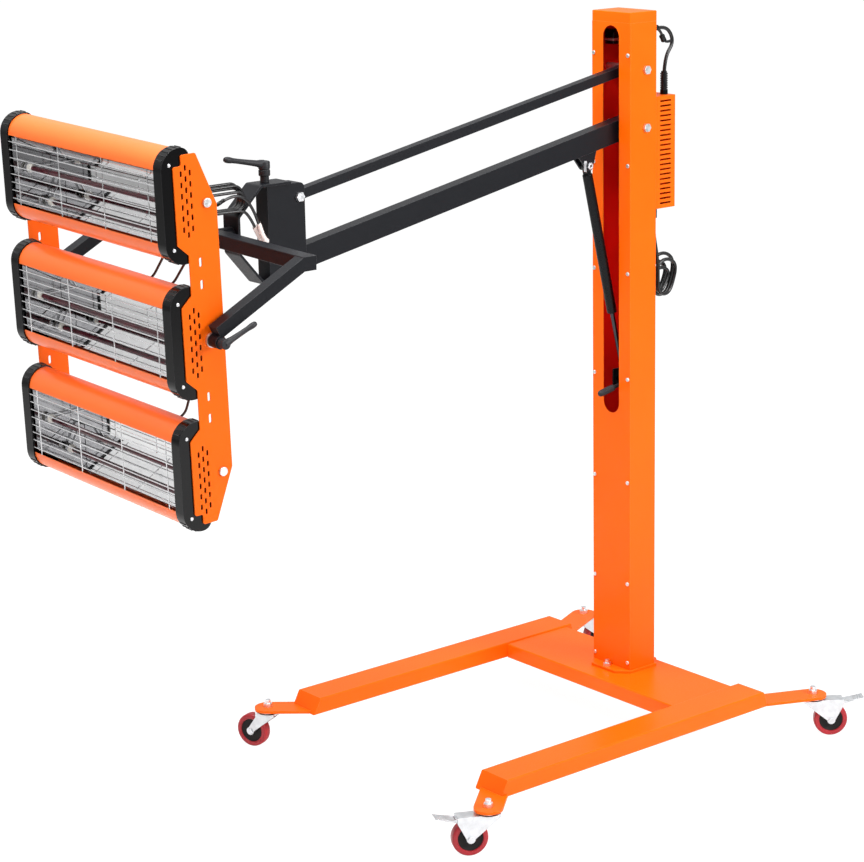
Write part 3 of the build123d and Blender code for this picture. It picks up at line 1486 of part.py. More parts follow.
def cord_tube(line, radius):
    with BuildPart(mode=Mode.PRIVATE) as tube:
        with BuildSketch(Plane(line @ 0, z_dir=line % 0)) as section:
            Circle(radius)
        sweep(sections=section.sketch, path=line)
    return tube.part


def least_gap(line, diameter):
    count = int(line.length / sample_step)
    points = [line @ (index / count) for index in range(count + 1)]
    reach = int(2 * diameter / sample_step) + 1
    gaps = [
        (points[first] - points[second]).length
        for first in range(count)
        for second in range(first + reach, count + 1)
    ]
    return min(gaps) - diameter


# Loop at the back that carries the feed from the column down into the control box
loop_route = [
    (loop_x, shell_rear - column_wall, loop_exit_z),
    (loop_x, link_gland_y, loop_exit_z + loop_rise),
    (loop_x, link_gland_y + loop_reach, loop_exit_z - cord_radius * 6),
    (loop_x, link_gland_y, control_top + gland_height + cord_radius * 7),
    (loop_x, link_gland_y, control_top + gland_height - cord_radius * 5),
]
with BuildLine() as loop_line:
    FilletPolyline(*loop_route, radius=bend_radii(loop_route))
rear_loop_cord = cord_tube(loop_line.wire(), cord_radius)
print("rear loop radii", [round(radius, 1) for radius in bend_radii(loop_route)])
rear_loop_cord.label = "rear_loop_cord"
export_step(rear_loop_cord, "parts/rear_loop_cord.step")

# Mains cord put away in a hank: one line down from the gland, round the turns, on to the plug
hank_pitch = 2 * cord_radius + hank_gap
hank_far_y = hank_side_y + hank_width
hank_mid_y = hank_side_y + hank_width / 2
hank_bow = math.hypot(hank_width, hank_pitch / 2) / 2
gland_mouth = control_bottom - power_gland_height
hank_lead = [
    (power_gland_x, power_gland_y, gland_mouth + 5 * cord_radius),
    (power_gland_x, power_gland_y, gland_mouth - hank_drop / 2),
    (power_gland_x, hank_side_y, gland_mouth - hank_drop * 3 / 2),
    (power_gland_x, hank_side_y, hank_top),
]
with BuildLine() as hank_line:
    FilletPolyline(*hank_lead, radius=bend_radii(hank_lead))
    for turn in range(hank_turns):
        near_x = power_gland_x - turn * hank_pitch
        far_x = near_x - hank_pitch / 2
        next_x = near_x - hank_pitch
        Line((near_x, hank_side_y, hank_top), (near_x, hank_side_y, hank_low))
        ThreePointArc(
            (near_x, hank_side_y, hank_low),
            ((near_x + far_x) / 2, hank_mid_y, hank_low - hank_bow),
            (far_x, hank_far_y, hank_low),
        )
        Line((far_x, hank_far_y, hank_low), (far_x, hank_far_y, hank_top))
        ThreePointArc(
            (far_x, hank_far_y, hank_top),
            ((far_x + next_x) / 2, hank_mid_y, hank_top + hank_bow),
            (next_x, hank_side_y, hank_top),
        )
    Line((next_x, hank_side_y, hank_top), (next_x, hank_side_y, hank_low - hank_tail))
hank_wire = hank_line.wire()
print("mains cord length", round(hank_wire.length))
print("mains cord least gap", round(least_gap(hank_wire, 2 * cord_radius), 2))
hank_tube = cord_tube(hank_wire, cord_radius)
tie_half_x = (power_gland_x - next_x) / 2 + cord_radius + cord_gap
tie_half_y = hank_width / 2 + cord_radius + cord_gap
with BuildPart() as power_cord_hank:
    add(hank_tube)
    with BuildSketch(Plane.XY.offset((hank_top + hank_low - tie_height) / 2)):
        with Locations(((power_gland_x + next_x) / 2, hank_mid_y)):
            Rectangle(2 * (tie_half_x + tie_thickness), 2 * (tie_half_y + tie_thickness))
            Rectangle(2 * tie_half_x, 2 * tie_half_y, mode=Mode.SUBTRACT)
    extrude(amount=tie_height)
power_cord_hank.part.label = "power_cord_hank"
export_step(power_cord_hank.part, "parts/power_cord_hank.step")

plug_top = hank_low - hank_tail + 3 * cord_radius
with BuildPart() as power_plug:
    with BuildSketch(Plane.XY.offset(plug_top)):
        with Locations((next_x, hank_side_y)):
            Circle(plug_neck_radius)
    extrude(amount=-plug_neck_length)
    with BuildSketch(Plane.XY.offset(plug_top - plug_neck_length)):
        with Locations((next_x, hank_side_y)):
            Circle(plug_radius)
    extrude(amount=-plug_length)
    fillet(power_plug.edges().filter_by(GeomType.CIRCLE).group_by(Axis.Z)[-2], radius=cord_radius)
    with BuildSketch(Plane.XY.offset(plug_top - plug_neck_length - plug_length)):
        with Locations((next_x, hank_side_y)):
            with GridLocations(plug_pin_pitch, 0, 2, 1):
                Circle(plug_pin_radius)
    extrude(amount=-plug_pin_length)
    with BuildSketch(Plane.XY.offset(plug_top)):
        with Locations((next_x, hank_side_y)):
            Circle(cord_radius)
    extrude(amount=-3 * cord_radius, mode=Mode.SUBTRACT)
power_plug.part.label = "power_plug"
export_step(power_plug.part, "parts/power_plug.step")

# Slack of the lamp cable, looped over the slope of the clevis, and a second strand beside it
coil_pitch = 2 * head_cord_radius + hank_gap
coil_bow = math.hypot(head_coil_height, coil_pitch / 2) / 2
coil_low = head_coil_z - head_coil_height / 2
coil_top = head_coil_z + head_coil_height / 2
near_lead = near_lead_run + [
    (head_coil_x, head_coil_rear + head_cord_radius * 3, coil_low),
    (head_coil_x, head_coil_rear, coil_low),
]
with BuildLine() as coil_line:
    FilletPolyline(*near_lead[:-1], radius=bend_radii(near_lead[:-1]))
    Line(near_lead[-2], near_lead[-1])
    for turn in range(head_cord_turns):
        near_x = head_coil_x - turn * coil_pitch
        far_x = near_x - coil_pitch / 2
        next_x = near_x - coil_pitch
        Line((near_x, head_coil_rear, coil_low), (near_x, head_coil_front, coil_low))
        ThreePointArc(
            (near_x, head_coil_front, coil_low),
            ((near_x + far_x) / 2, head_coil_front - coil_bow, head_coil_z),
            (far_x, head_coil_front, coil_top),
        )
        Line((far_x, head_coil_front, coil_top), (far_x, head_coil_rear, coil_top))
        ThreePointArc(
            (far_x, head_coil_rear, coil_top),
            ((far_x + next_x) / 2, head_coil_rear + coil_bow, head_coil_z),
            (next_x, head_coil_rear, coil_low),
        )
    Line((next_x, head_coil_rear, coil_low), (next_x, head_coil_front - coil_bow, coil_low))
coil_wire = coil_line.wire()
print("lamp cable length", round(coil_wire.length))
print("lamp cable least gap", round(least_gap(coil_wire, 2 * head_cord_radius), 2))
with BuildLine() as strand_line:
    FilletPolyline(*far_lead_run, radius=bend_radii(far_lead_run))
print("strand radii", [round(radius, 1) for radius in bend_radii(far_lead_run)])
coil_tube = cord_tube(coil_wire, head_cord_radius)
strand_tube = cord_tube(strand_line.wire(), head_cord_radius)
with BuildPart() as head_cord_coil:
    add(coil_tube)
    add(strand_tube)
head_cord_coil.part.label = "head_cord_coil"
export_step(head_cord_coil.part, "parts/head_cord_coil.step")

# Pale sleeves that carry the two leads into the front of the bracket
with BuildPart() as box_leads:
    for run in sleeve_runs:
        route = run + [(run[-1][0], box_front, run[-1][2])]
        with BuildLine(mode=Mode.PRIVATE) as sleeve_line:
            FilletPolyline(*route, radius=bend_radii(route))
        add(cord_tube(sleeve_line.wire(), sleeve_radius))
box_leads.part.label = "box_leads"
export_step(box_leads.part, "parts/box_leads.step")

# Leads that cross the gaps behind the lamps
with BuildPart() as lamp_leads:
    for run in lamp_lead_runs:
        lead_out = lamp_rear + lead_stand_off
        lead_in = lead_entry_y - lead_inside
        route = [(run[0][0], lead_in, run[0][1])]
        for place, (x, z) in enumerate(run):
            sag = lead_sag if 0 < place < len(run) - 1 else 0
            route.append((x, lead_out + sag, z))
        route.append((run[-1][0], lead_in, run[-1][1]))
        with BuildLine(mode=Mode.PRIVATE) as lead_line:
            FilletPolyline(*route, radius=bend_radii(route))
        add(head * cord_tube(lead_line.wire(), lead_radius))
lamp_leads.part.label = "lamp_leads"
export_step(lamp_leads.part, "parts/lamp_leads.step")
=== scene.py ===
import bpy
import bmesh
import json
import math
from mathutils import Matrix, Vector

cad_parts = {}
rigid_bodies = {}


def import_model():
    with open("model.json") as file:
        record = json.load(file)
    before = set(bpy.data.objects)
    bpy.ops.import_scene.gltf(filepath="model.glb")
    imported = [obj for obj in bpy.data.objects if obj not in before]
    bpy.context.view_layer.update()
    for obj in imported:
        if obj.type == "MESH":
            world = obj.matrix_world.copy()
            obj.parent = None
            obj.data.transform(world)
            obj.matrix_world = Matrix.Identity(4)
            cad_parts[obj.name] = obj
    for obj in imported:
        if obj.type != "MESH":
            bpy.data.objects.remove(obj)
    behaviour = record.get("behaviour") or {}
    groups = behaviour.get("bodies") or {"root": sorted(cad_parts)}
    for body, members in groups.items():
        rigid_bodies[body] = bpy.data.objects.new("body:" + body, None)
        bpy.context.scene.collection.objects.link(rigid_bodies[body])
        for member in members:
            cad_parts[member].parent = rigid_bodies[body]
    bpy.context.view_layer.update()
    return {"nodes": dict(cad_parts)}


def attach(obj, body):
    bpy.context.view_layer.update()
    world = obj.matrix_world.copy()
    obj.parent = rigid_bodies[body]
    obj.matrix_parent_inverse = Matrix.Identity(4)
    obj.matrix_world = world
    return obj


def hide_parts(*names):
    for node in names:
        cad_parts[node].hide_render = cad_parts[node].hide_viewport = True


for old in list(bpy.data.objects):
    bpy.data.objects.remove(old)
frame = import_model()
nodes = frame["nodes"]
casterNames = ["front_left", "front_right", "rear_left", "rear_right"]
brakedCasters = ["front_right", "rear_right"]
print("frame loaded:", len(nodes), "nodes")


# Shader sums: an expression on values adds its maths nodes
class Value:
    def __init__(self, shading, socket):
        self.shading, self.socket = shading, socket

    def maths(self, operation, *terms):
        settings = {"operation": operation}
        return self.shading.node("ShaderNodeMath", settings, dict(enumerate(terms)))

    def __add__(self, other):
        return self.maths("ADD", self, other)

    def __radd__(self, other):
        return self.maths("ADD", other, self)

    def __sub__(self, other):
        return self.maths("SUBTRACT", self, other)

    def __rsub__(self, other):
        return self.maths("SUBTRACT", other, self)

    def __mul__(self, other):
        return self.maths("MULTIPLY", self, other)

    def __rmul__(self, other):
        return self.maths("MULTIPLY", other, self)

    def __lt__(self, other):
        return self.maths("LESS_THAN", self, other)

    def __gt__(self, other):
        return self.maths("GREATER_THAN", self, other)

    def __abs__(self):
        return self.maths("ABSOLUTE", self)

    def orMore(self, other):
        return self.maths("MAXIMUM", self, other)


# Nodes of a material or of the sky, each made with its settings and its inputs
class Shading:
    def __init__(self, tree):
        self.tree = tree

    def feed(self, socket, value):
        if isinstance(value, Value):
            self.tree.links.new(value.socket, socket)
        else:
            socket.default_value = value

    def node(self, kind, settings=None, sockets=None, output=0):
        node = self.tree.nodes.new(kind)
        for name, value in (settings or {}).items():
            setattr(node, name, value)
        for name, value in (sockets or {}).items():
            self.feed(node.inputs[name], value)
        return Value(self, node.outputs[output])

    def axis(self, place, name):
        return self.node("ShaderNodeSeparateXYZ", {}, {"Vector": place}, name)

    def ray(self, kind):
        return self.node("ShaderNodeLightPath", output="Is %s Ray" % kind)

    def spread(self, value, low, high, start=0.0, end=1.0):
        bounds = {"From Min": low, "From Max": high, "To Min": start, "To Max": end}
        return self.node("ShaderNodeMapRange", {"clamp": True}, {"Value": value, **bounds})


class Finish(Shading):
    def __init__(self, name, **sockets):
        self.material = bpy.data.materials.new(name)
        self.material.use_nodes = True
        super().__init__(self.material.node_tree)
        self.shader = self.tree.nodes["Principled BSDF"]
        self.put(**sockets)

    def put(self, **sockets):
        for name, value in sockets.items():
            socket = next(one for one in self.shader.inputs if one.name.replace(" ", "") == name)
            self.feed(socket, value)

    # the object's own space, in metres, stays with a piece when it moves
    def where(self):
        return self.node("ShaderNodeTexCoord", output="Object")

    def noise(self, scale, detail=2.0, rough=0.5, where=None):
        sockets = {"Scale": scale, "Detail": detail, "Roughness": rough}
        sockets["Vector"] = where or self.where()
        return self.node("ShaderNodeTexNoise", {"noise_dimensions": "3D"}, sockets)

    def mix(self, mask, first, second):
        return self.node("ShaderNodeMix", {"data_type": "RGBA"}, {0: mask, 6: first, 7: second}, 2)

    # a colour that drifts between a darker and a lighter share of itself
    def mottled(self, mask, colour, shares, band=None):
        dark, light = (tint(colour, share) for share in shares)
        return self.mix(self.spread(mask, *(band or noiseBand)), dark, light)

    # rounded edges for the light, and a mask of where they are, which the finishes use for a
    # lighter edge colour that is partly wear, partly painted highlight
    def softEdge(self, radius):
        rounded = self.node("ShaderNodeBevel", {"samples": edgeBase["samples"]}, {"Radius": radius})
        plain = self.node("ShaderNodeNewGeometry", output="Normal")
        product = {"operation": "DOT_PRODUCT"}
        facing = self.node("ShaderNodeVectorMath", product, {0: rounded, 1: plain}, "Value")
        return rounded, self.spread(1 - facing, *edgeBase["band"])

    def bump(self, height, strength, distance, normal=None):
        sockets = {"Height": height, "Strength": strength, "Distance": distance}
        if normal:
            sockets["Normal"] = normal
        return self.node("ShaderNodeBump", {}, sockets)


noiseBand = (0.3, 0.7)  # where most of a noise's values lie
edgeBase = {"samples": 4, "band": (0.02, 0.25)}
whiteLight = (1, 1, 1, 1)


def tint(colour, share=1.0):
    return [min(1.0, channel * share) for channel in colour[:3]] + [1.0]


# What the coats, platings and mouldings each share: noises, shares of the colour, grain depths
powderBase = {
    "cloud": (5.0, 3.0), "drift": (0.95, 1.05), "fleckShare": 0.22, "fleckDetail": 3.0,
    "coatBand": (0.2, 0.8), "thinShare": 0.8, "relief": 0.0003,
}
platedBase = {
    "patch": (4.0, 0.65), "patchBand": (0.35, 0.65), "fineness": 9, "drift": (0.86, 1.04),
    "wornShare": 1.2, "edgeShare": 0.5, "metal": (0.94, 1.0), "relief": 0.0002,
}
mouldedBase = {"grain": (3.0, 0.6), "cloud": 9.0, "drift": (0.85, 1.15), "relief": 0.0002}


def powderCoat(name, look):
    finish = Finish(name, CoatRoughness=look["coatRoughness"], SpecularIORLevel=look["specular"])
    rounded, rim = finish.softEdge(look["edge"])
    broad = finish.noise(*powderBase["cloud"])
    grain = finish.noise(look["grain"])
    fleck = finish.noise(look["grain"] * powderBase["fleckShare"], powderBase["fleckDetail"])
    body = finish.mottled(broad, look["colour"], powderBase["drift"])
    thin = look["coat"] * powderBase["thinShare"]
    # edges take a lighter colour: partly wear, partly painted highlight
    finish.put(
        BaseColor=finish.mix(rim * look["edgeShare"], body, tint(look["worn"])),
        Roughness=finish.spread(fleck, *noiseBand, *look["rough"]),
        CoatWeight=finish.spread(broad, *powderBase["coatBand"], thin, look["coat"]),
        Normal=finish.bump(grain, look["bump"], powderBase["relief"], rounded),
    )
    return finish.material


def plated(name, look):
    finish = Finish(name)
    rounded, rim = finish.softEdge(look["edge"])
    patch = finish.noise(look["patch"], *platedBase["patch"])
    fine = finish.noise(look["patch"] * platedBase["fineness"])
    body = finish.mottled(patch, look["colour"], platedBase["drift"], platedBase["patchBand"])
    # edges take a lighter share of the metal: partly wear, partly painted highlight
    worn = tint(look["colour"], platedBase["wornShare"])
    finish.put(
        BaseColor=finish.mix(rim * platedBase["edgeShare"], body, worn),
        Metallic=finish.spread(patch, 0.0, 1.0, *platedBase["metal"]),
        Roughness=finish.spread(patch, *noiseBand, *look["rough"]),
        Normal=finish.bump(fine, look["bump"], platedBase["relief"], rounded),
    )
    return finish.material


def moulded(name, look):
    finish = Finish(name, SpecularIORLevel=look["specular"])
    rounded, rim = finish.softEdge(look["edge"])
    grain = finish.noise(look["grain"], *mouldedBase["grain"])
    cloud = finish.noise(mouldedBase["cloud"])
    body = finish.mottled(cloud, look["colour"], mouldedBase["drift"])
    # edges take a lighter colour: partly wear, partly painted highlight
    finish.put(
        BaseColor=finish.mix(rim * look["edgeShare"], body, tint(look["worn"])),
        Roughness=finish.spread(grain, *noiseBand, *look["rough"]),
        Normal=finish.bump(grain, look["bump"], mouldedBase["relief"], rounded),
    )
    return finish.material


# In the coats and mouldings, each look's edge colour is partly wear, partly painted highlight on
# the rounded edges
coats = {
    "orangeCoat": {
        "colour": (0.90, 0.121, 0.0015), "worn": (1.0, 0.30, 0.06), "edgeShare": 0.5,
        "edge": 0.0014, "specular": 0.10, "grain": 1500.0, "bump": 0.10, "rough": (0.32, 0.42),
        "coat": 0.05, "coatRoughness": 0.12,
    },
    # lamp shells: a lighter, paler orange than the other paint, painted light on the shells, over
    # their own glossier finish
    "shellCoatLightened": {
        "colour": (0.93, 0.150, 0.020), "worn": (1.0, 0.36, 0.12), "edgeShare": 0.4,
        "edge": 0.0014, "specular": 0.42, "grain": 1500.0, "bump": 0.02, "rough": (0.28, 0.36),
        "coat": 0.05, "coatRoughness": 0.12,
    },
    "blackCoat": {
        "colour": (0.0040, 0.0046, 0.0068), "worn": (0.13, 0.13, 0.14), "edgeShare": 0.7,
        "edge": 0.0012, "specular": 0.16, "grain": 1300.0, "bump": 0.16, "rough": (0.36, 0.48),
        "coat": 0.06, "coatRoughness": 0.25,
    },
    "cylinderCoat": {
        "colour": (0.0015, 0.0022, 0.003), "worn": (0.06, 0.06, 0.065), "edgeShare": 0.5,
        "edge": 0.001, "specular": 0.12, "grain": 1600.0, "bump": 0.05, "rough": (0.24, 0.32),
        "coat": 0.1, "coatRoughness": 0.1,
    },
}
platings = {
    "zincPlate": {
        "colour": (0.74, 0.75, 0.77), "rough": (0.26, 0.42), "patch": 120.0, "bump": 0.06,
        "edge": 0.0006,
    },
    "pressedZinc": {
        "colour": (0.66, 0.68, 0.70), "rough": (0.3, 0.46), "patch": 60.0, "bump": 0.08,
        "edge": 0.0009,
    },
    "rodSteel": {
        "colour": (0.05, 0.05, 0.056), "rough": (0.16, 0.24), "patch": 30.0, "bump": 0.02,
        "edge": 0.0006,
    },
    "brightWire": {
        "colour": (0.86, 0.86, 0.87), "rough": (0.12, 0.22), "patch": 80.0, "bump": 0.02,
        "edge": 0.0004,
    },
}
mouldings = {
    "blackPlastic": {
        "colour": (0.0016, 0.0015, 0.0018), "worn": (0.10, 0.10, 0.11), "edgeShare": 0.6,
        "edge": 0.0012, "grain": 1800.0, "bump": 0.05, "rough": (0.10, 0.20), "specular": 0.22,
    },
    "leverPlastic": {
        "colour": (0.014, 0.0145, 0.017), "worn": (0.1, 0.1, 0.11), "edgeShare": 0.4,
        "edge": 0.001, "grain": 1200.0, "bump": 0.12, "rough": (0.4, 0.5), "specular": 0.25,
    },
    "cableSheath": {
        "colour": (0.006, 0.006, 0.007), "worn": (0.04, 0.04, 0.042), "edgeShare": 0.2,
        "edge": 0.0004, "grain": 900.0, "bump": 0.04, "rough": (0.18, 0.27), "specular": 0.45,
    },
    "paleSleeve": {
        "colour": (0.80, 0.72, 0.69), "worn": (0.9, 0.86, 0.84), "edgeShare": 0.3,
        "edge": 0.0006, "grain": 1100.0, "bump": 0.3, "rough": (0.5, 0.65), "specular": 0.3,
    },
    "ceramic": {
        "colour": (0.80, 0.77, 0.71), "worn": (0.9, 0.88, 0.84), "edgeShare": 0.4,
        "edge": 0.0008, "grain": 700.0, "bump": 0.08, "rough": (0.35, 0.5), "specular": 0.45,
    },
    "treadRed": {
        "colour": (0.36, 0.006, 0.014), "worn": (0.5, 0.03, 0.04), "edgeShare": 0.3,
        "edge": 0.0008, "grain": 600.0, "bump": 0.1, "rough": (0.28, 0.4), "specular": 0.45,
    },
    "coreBlack": {
        "colour": (0.014, 0.012, 0.012), "worn": (0.05, 0.05, 0.05), "edgeShare": 0.3,
        "edge": 0.0008, "grain": 900.0, "bump": 0.1, "rough": (0.4, 0.55), "specular": 0.15,
    },
    "rockerBlack": {
        "colour": (0.015, 0.015, 0.016), "worn": (0.07, 0.07, 0.07), "edgeShare": 0.4,
        "edge": 0.0008, "grain": 900.0, "bump": 0.03, "rough": (0.18, 0.26), "specular": 0.4,
    },
    "markWhite": {
        "colour": (0.82, 0.82, 0.82), "worn": (0.86, 0.86, 0.86), "edgeShare": 0.1,
        "edge": 0.0002, "grain": 900.0, "bump": 0.02, "rough": (0.4, 0.5), "specular": 0.3,
    },
}
finishes = {name: powderCoat(name, look) for name, look in coats.items()}
finishes.update({name: plated(name, look) for name, look in platings.items()})
finishes.update({name: moulded(name, look) for name, look in mouldings.items()})

# Bright rolled sheet of the reflectors and of the lamps' end plates
sheets = {
    "mirrorSheet": {
        "colour": (0.96, 0.96, 0.965), "rough": (0.015, 0.05), "wave": 7.0, "bump": 0.05,
    },
    "endSheet": {
        "colour": (0.36, 0.36, 0.37), "rough": (0.03, 0.07), "wave": 11.0, "bump": 0.06,
    },
}
sheetBase = {
    "haze": (40.0, 4.0, 0.7), "drift": (0.9, 1.0), "rolled": (4.0, 700.0, 700.0),
    "hazeShare": 0.6, "lineShare": 0.4, "band": (0.35, 0.65), "relief": 0.003,
}


def mirrorSheet(name, look):
    finish = Finish(name, Metallic=1.0)
    wave = finish.noise(look["wave"])
    haze = finish.noise(*sheetBase["haze"])
    rolling = {"Vector": finish.where(), "Scale": sheetBase["rolled"]}
    lines = finish.noise(1.0, where=finish.node("ShaderNodeMapping", {}, rolling))
    blend = haze * sheetBase["hazeShare"] + lines * sheetBase["lineShare"]
    finish.put(
        BaseColor=finish.mottled(haze, look["colour"], sheetBase["drift"]),
        Roughness=finish.spread(blend, *sheetBase["band"], *look["rough"]),
        Normal=finish.bump(wave, look["bump"], sheetBase["relief"]),
    )
    return finish.material


quartzLook = {
    "rough": 0.05, "ior": 1.46, "clear": 0.06, "coatRoughness": 0.04, "coat": (0.2, 0.35),
    "streak": (26.0, 3.0), "dark": (0.045, 0.0015, 0.006, 1), "light": (0.09, 0.003, 0.011, 1),
}


def rubyQuartz(name, look):
    finish = Finish(
        name, Roughness=look["rough"], IOR=look["ior"], TransmissionWeight=look["clear"],
        CoatRoughness=look["coatRoughness"],
    )
    streak = finish.noise(*look["streak"])
    finish.put(
        BaseColor=finish.mix(finish.spread(streak, *noiseBand), look["dark"], look["light"]),
        CoatWeight=finish.spread(streak, 0.0, 1.0, *look["coat"]),
    )
    return finish.material


# The inside of the column sees little light: painted shade, a deeper, redder colour between its
# walls
columnShadeInside = {
    "half": 0.0578, "front": -0.0378, "rear": 0.0378,
    "dark": (0.86, 0.012, 0.006, 1), "light": (1.0, 0.018, 0.008, 1),
}


def columnCoatShadedInside(name, look, inside):
    finish = Finish(name, CoatRoughness=look["coatRoughness"], SpecularIORLevel=look["specular"])
    rounded, rim = finish.softEdge(look["edge"])
    where = finish.where()
    x, y = finish.axis(where, "X"), finish.axis(where, "Y")
    shadedWithin = (abs(x) < inside["half"]) * (y < inside["rear"]) * (y > inside["front"])
    broad = finish.noise(*powderBase["cloud"])
    grain = finish.noise(look["grain"])
    coat = finish.mottled(broad, look["colour"], powderBase["drift"])
    shade = finish.mix(finish.spread(broad, *noiseBand), inside["dark"], inside["light"])
    # painted shade: between the walls the colour is darker and redder than the coat
    body = finish.mix(shadedWithin, coat, shade)
    finish.put(
        # edges outside the walls take a lighter colour: partly wear, partly painted highlight
        BaseColor=finish.mix(rim * (1 - shadedWithin) * look["edgeShare"], body, tint(look["worn"])),
        Roughness=finish.spread(broad, *noiseBand, *look["rough"]),
        CoatWeight=(1 - shadedWithin) * look["coat"],
        Normal=finish.bump(grain, look["bump"], powderBase["relief"], rounded),
    )
    return finish.material


finishes.update({name: mirrorSheet(name, look) for name, look in sheets.items()})
finishes["columnCoatShadedInside"] = columnCoatShadedInside("columnCoatShadedInside", coats["orangeCoat"], columnShadeInside)
finishes["rubyQuartz"] = rubyQuartz("rubyQuartz", quartzLook)
print("finishes ready:", len(finishes))


def dress(name, *places):
    for place in places:
        mesh = nodes[place].data
        mesh.materials.clear()
        mesh.materials.append(finishes[name])


# Nodes that keep their solid. Pieces made below replace the others
dress("orangeCoat", "left_leg", "right_leg", "cross_plate", "caster_plates")
dress("columnCoatShadedInside", "column_shell", "front_cover")
dress("orangeCoat", "column_foot", "column_cap", "control_box", "left_plate", "right_plate")
dress("shellCoatLightened", "lamp_shell_top", "lamp_shell_middle", "lamp_shell_bottom")
dress("blackCoat", "spring_foot_bracket", "lower_arm", "upper_link")
dress("blackCoat", "arm_bracket", "yoke_strap", "yoke_frame")
dress("blackPlastic", "lamp_end_caps", "timer_knob", "cord_glands", "power_plug")
dress("zincPlate", "foot_bolts", "cover_screws", "column_pivot_bolts", "spring_pin")
dress("zincPlate", "bracket_bolts", "roll_bolt", "tilt_bolts", "plate_bolts", "caster_stems")
dress("pressedZinc", *["caster_fork_" + name for name in casterNames])
dress("cylinderCoat", "gas_cylinder")
dress("rodSteel", "gas_rod")
dress("mirrorSheet", "lamp_reflectors")
dress("brightWire", "lamp_guards")
dress("rockerBlack", "lamp_switch_1", "lamp_switch_2", "lamp_switch_3")


# Mesh tools, all in metres in the frame's own space
def moved(x=0.0, y=0.0, z=0.0):
    return Matrix.Translation((x, y, z))


def turned(axis, degrees):
    return Matrix.Rotation(math.radians(degrees), 4, axis)


# an outline laid in the YZ plane with its depth along X, and in XZ with its depth along Y
faceX = Matrix(((0, 0, 1, 0), (1, 0, 0, 0), (0, 1, 0, 0), (0, 0, 0, 1)))
faceY = Matrix(((1, 0, 0, 0), (0, 0, 1, 0), (0, 1, 0, 0), (0, 0, 0, 1)))

# Rest places of the yoke, rolled a little about its bolt, and of the lamp head, tilted in the yoke
restLook = {
    "rollBolt": (0, -1.084, 1.249), "roll": 1.75, "tiltBolt": (0, -0.199, -0.1175), "tilt": 2.46,
}
yokePlace = moved(*restLook["rollBolt"]) @ turned("Y", restLook["roll"])
yokePlace = yokePlace @ moved(*restLook["tiltBolt"])
headPlace = yokePlace @ turned("X", restLook["tilt"])


def newPiece(name, data, finish):
    data.materials.append(finishes[finish])
    piece = bpy.data.objects.new(name, data)
    bpy.context.scene.collection.objects.link(piece)
    return piece


def mounted(piece, body, replaced):
    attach(piece, body)
    if replaced:
        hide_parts(*replaced)
    return piece


def meshPiece(name, mesh, body, finish, replaced=(), smooth=40.0, bevel=0.0):
    mesh.normal_update()
    data = bpy.data.meshes.new(name)
    mesh.to_mesh(data)
    mesh.free()
    for face in data.polygons:
        face.use_smooth = True
    data.set_sharp_from_angle(angle=math.radians(smooth))
    piece = newPiece(name, data, finish)
    if bevel:
        rounding = piece.modifiers.new("rounding", "BEVEL")
        rounding.width = bevel
        rounding.segments = 2
        rounding.limit_method = "ANGLE"
        rounding.angle_limit = math.radians(30)
        rounding.harden_normals = True
    return mounted(piece, body, replaced)


def lathe(mesh, profile, place, steps=48):
    rings = []
    for step in range(steps):
        angle = 2 * math.pi * step / steps
        spin = (math.cos(angle), math.sin(angle))
        rings.append([
            mesh.verts.new(place @ Vector((radius * spin[0], radius * spin[1], height)))
            for radius, height in profile
        ])
    for step in range(steps):
        here, there = rings[step], rings[(step + 1) % steps]
        for low in range(len(profile) - 1):
            mesh.faces.new([here[low], there[low], there[low + 1], here[low + 1]])
    bmesh.ops.remove_doubles(mesh, verts=mesh.verts, dist=1e-6)
    bmesh.ops.dissolve_degenerate(mesh, edges=mesh.edges, dist=1e-7)
    return mesh


def prism(mesh, outline, low, high, place):
    bottom = [mesh.verts.new(place @ Vector((x, y, low))) for x, y in outline]
    top = [mesh.verts.new(place @ Vector((x, y, high))) for x, y in outline]
    mesh.faces.new(list(reversed(bottom)))
    mesh.faces.new(top)
    for index in range(len(outline)):
        after = (index + 1) % len(outline)
        mesh.faces.new([bottom[index], bottom[after], top[after], top[index]])
    return mesh


# a round rod along points, with a radius at each of them
def rod(mesh, points, radii, place, steps=24):
    spots = [Vector(point) for point in points]
    side = None
    rings = []
    for index, spot in enumerate(spots):
        ahead = spots[min(index + 1, len(spots) - 1)] - spots[max(index - 1, 0)]
        ahead.normalize()
        side = ahead.orthogonal() if side is None else side - ahead * side.dot(ahead)
        side.normalize()
        across = ahead.cross(side)
        ring = []
        for step in range(steps):
            angle = 2 * math.pi * step / steps
            reach = (side * math.cos(angle) + across * math.sin(angle)) * radii[index]
            ring.append(mesh.verts.new(place @ (spot + reach)))
        rings.append(ring)
    for near, far in zip(rings, rings[1:]):
        for step in range(steps):
            after = (step + 1) % steps
            mesh.faces.new([near[step], near[after], far[after], far[step]])
    mesh.faces.new(list(reversed(rings[0])))
    mesh.faces.new(rings[-1])
    return mesh


def cordPiece(name, points, look, body, replaced=()):
    line = bpy.data.curves.new(name, "CURVE")
    line.dimensions = "3D"
    line.bevel_depth = look["diameter"] / 2
    line.bevel_resolution = 5
    line.resolution_u = 8
    line.use_fill_caps = True
    spline = line.splines.new("NURBS")
    spline.points.add(len(points) - 1)
    for knot, point in zip(spline.points, points):
        knot.co = (*point, 1.0)
    spline.order_u = 3
    spline.use_endpoint_u = True
    return mounted(newPiece(name, line, "cableSheath"), body, replaced)


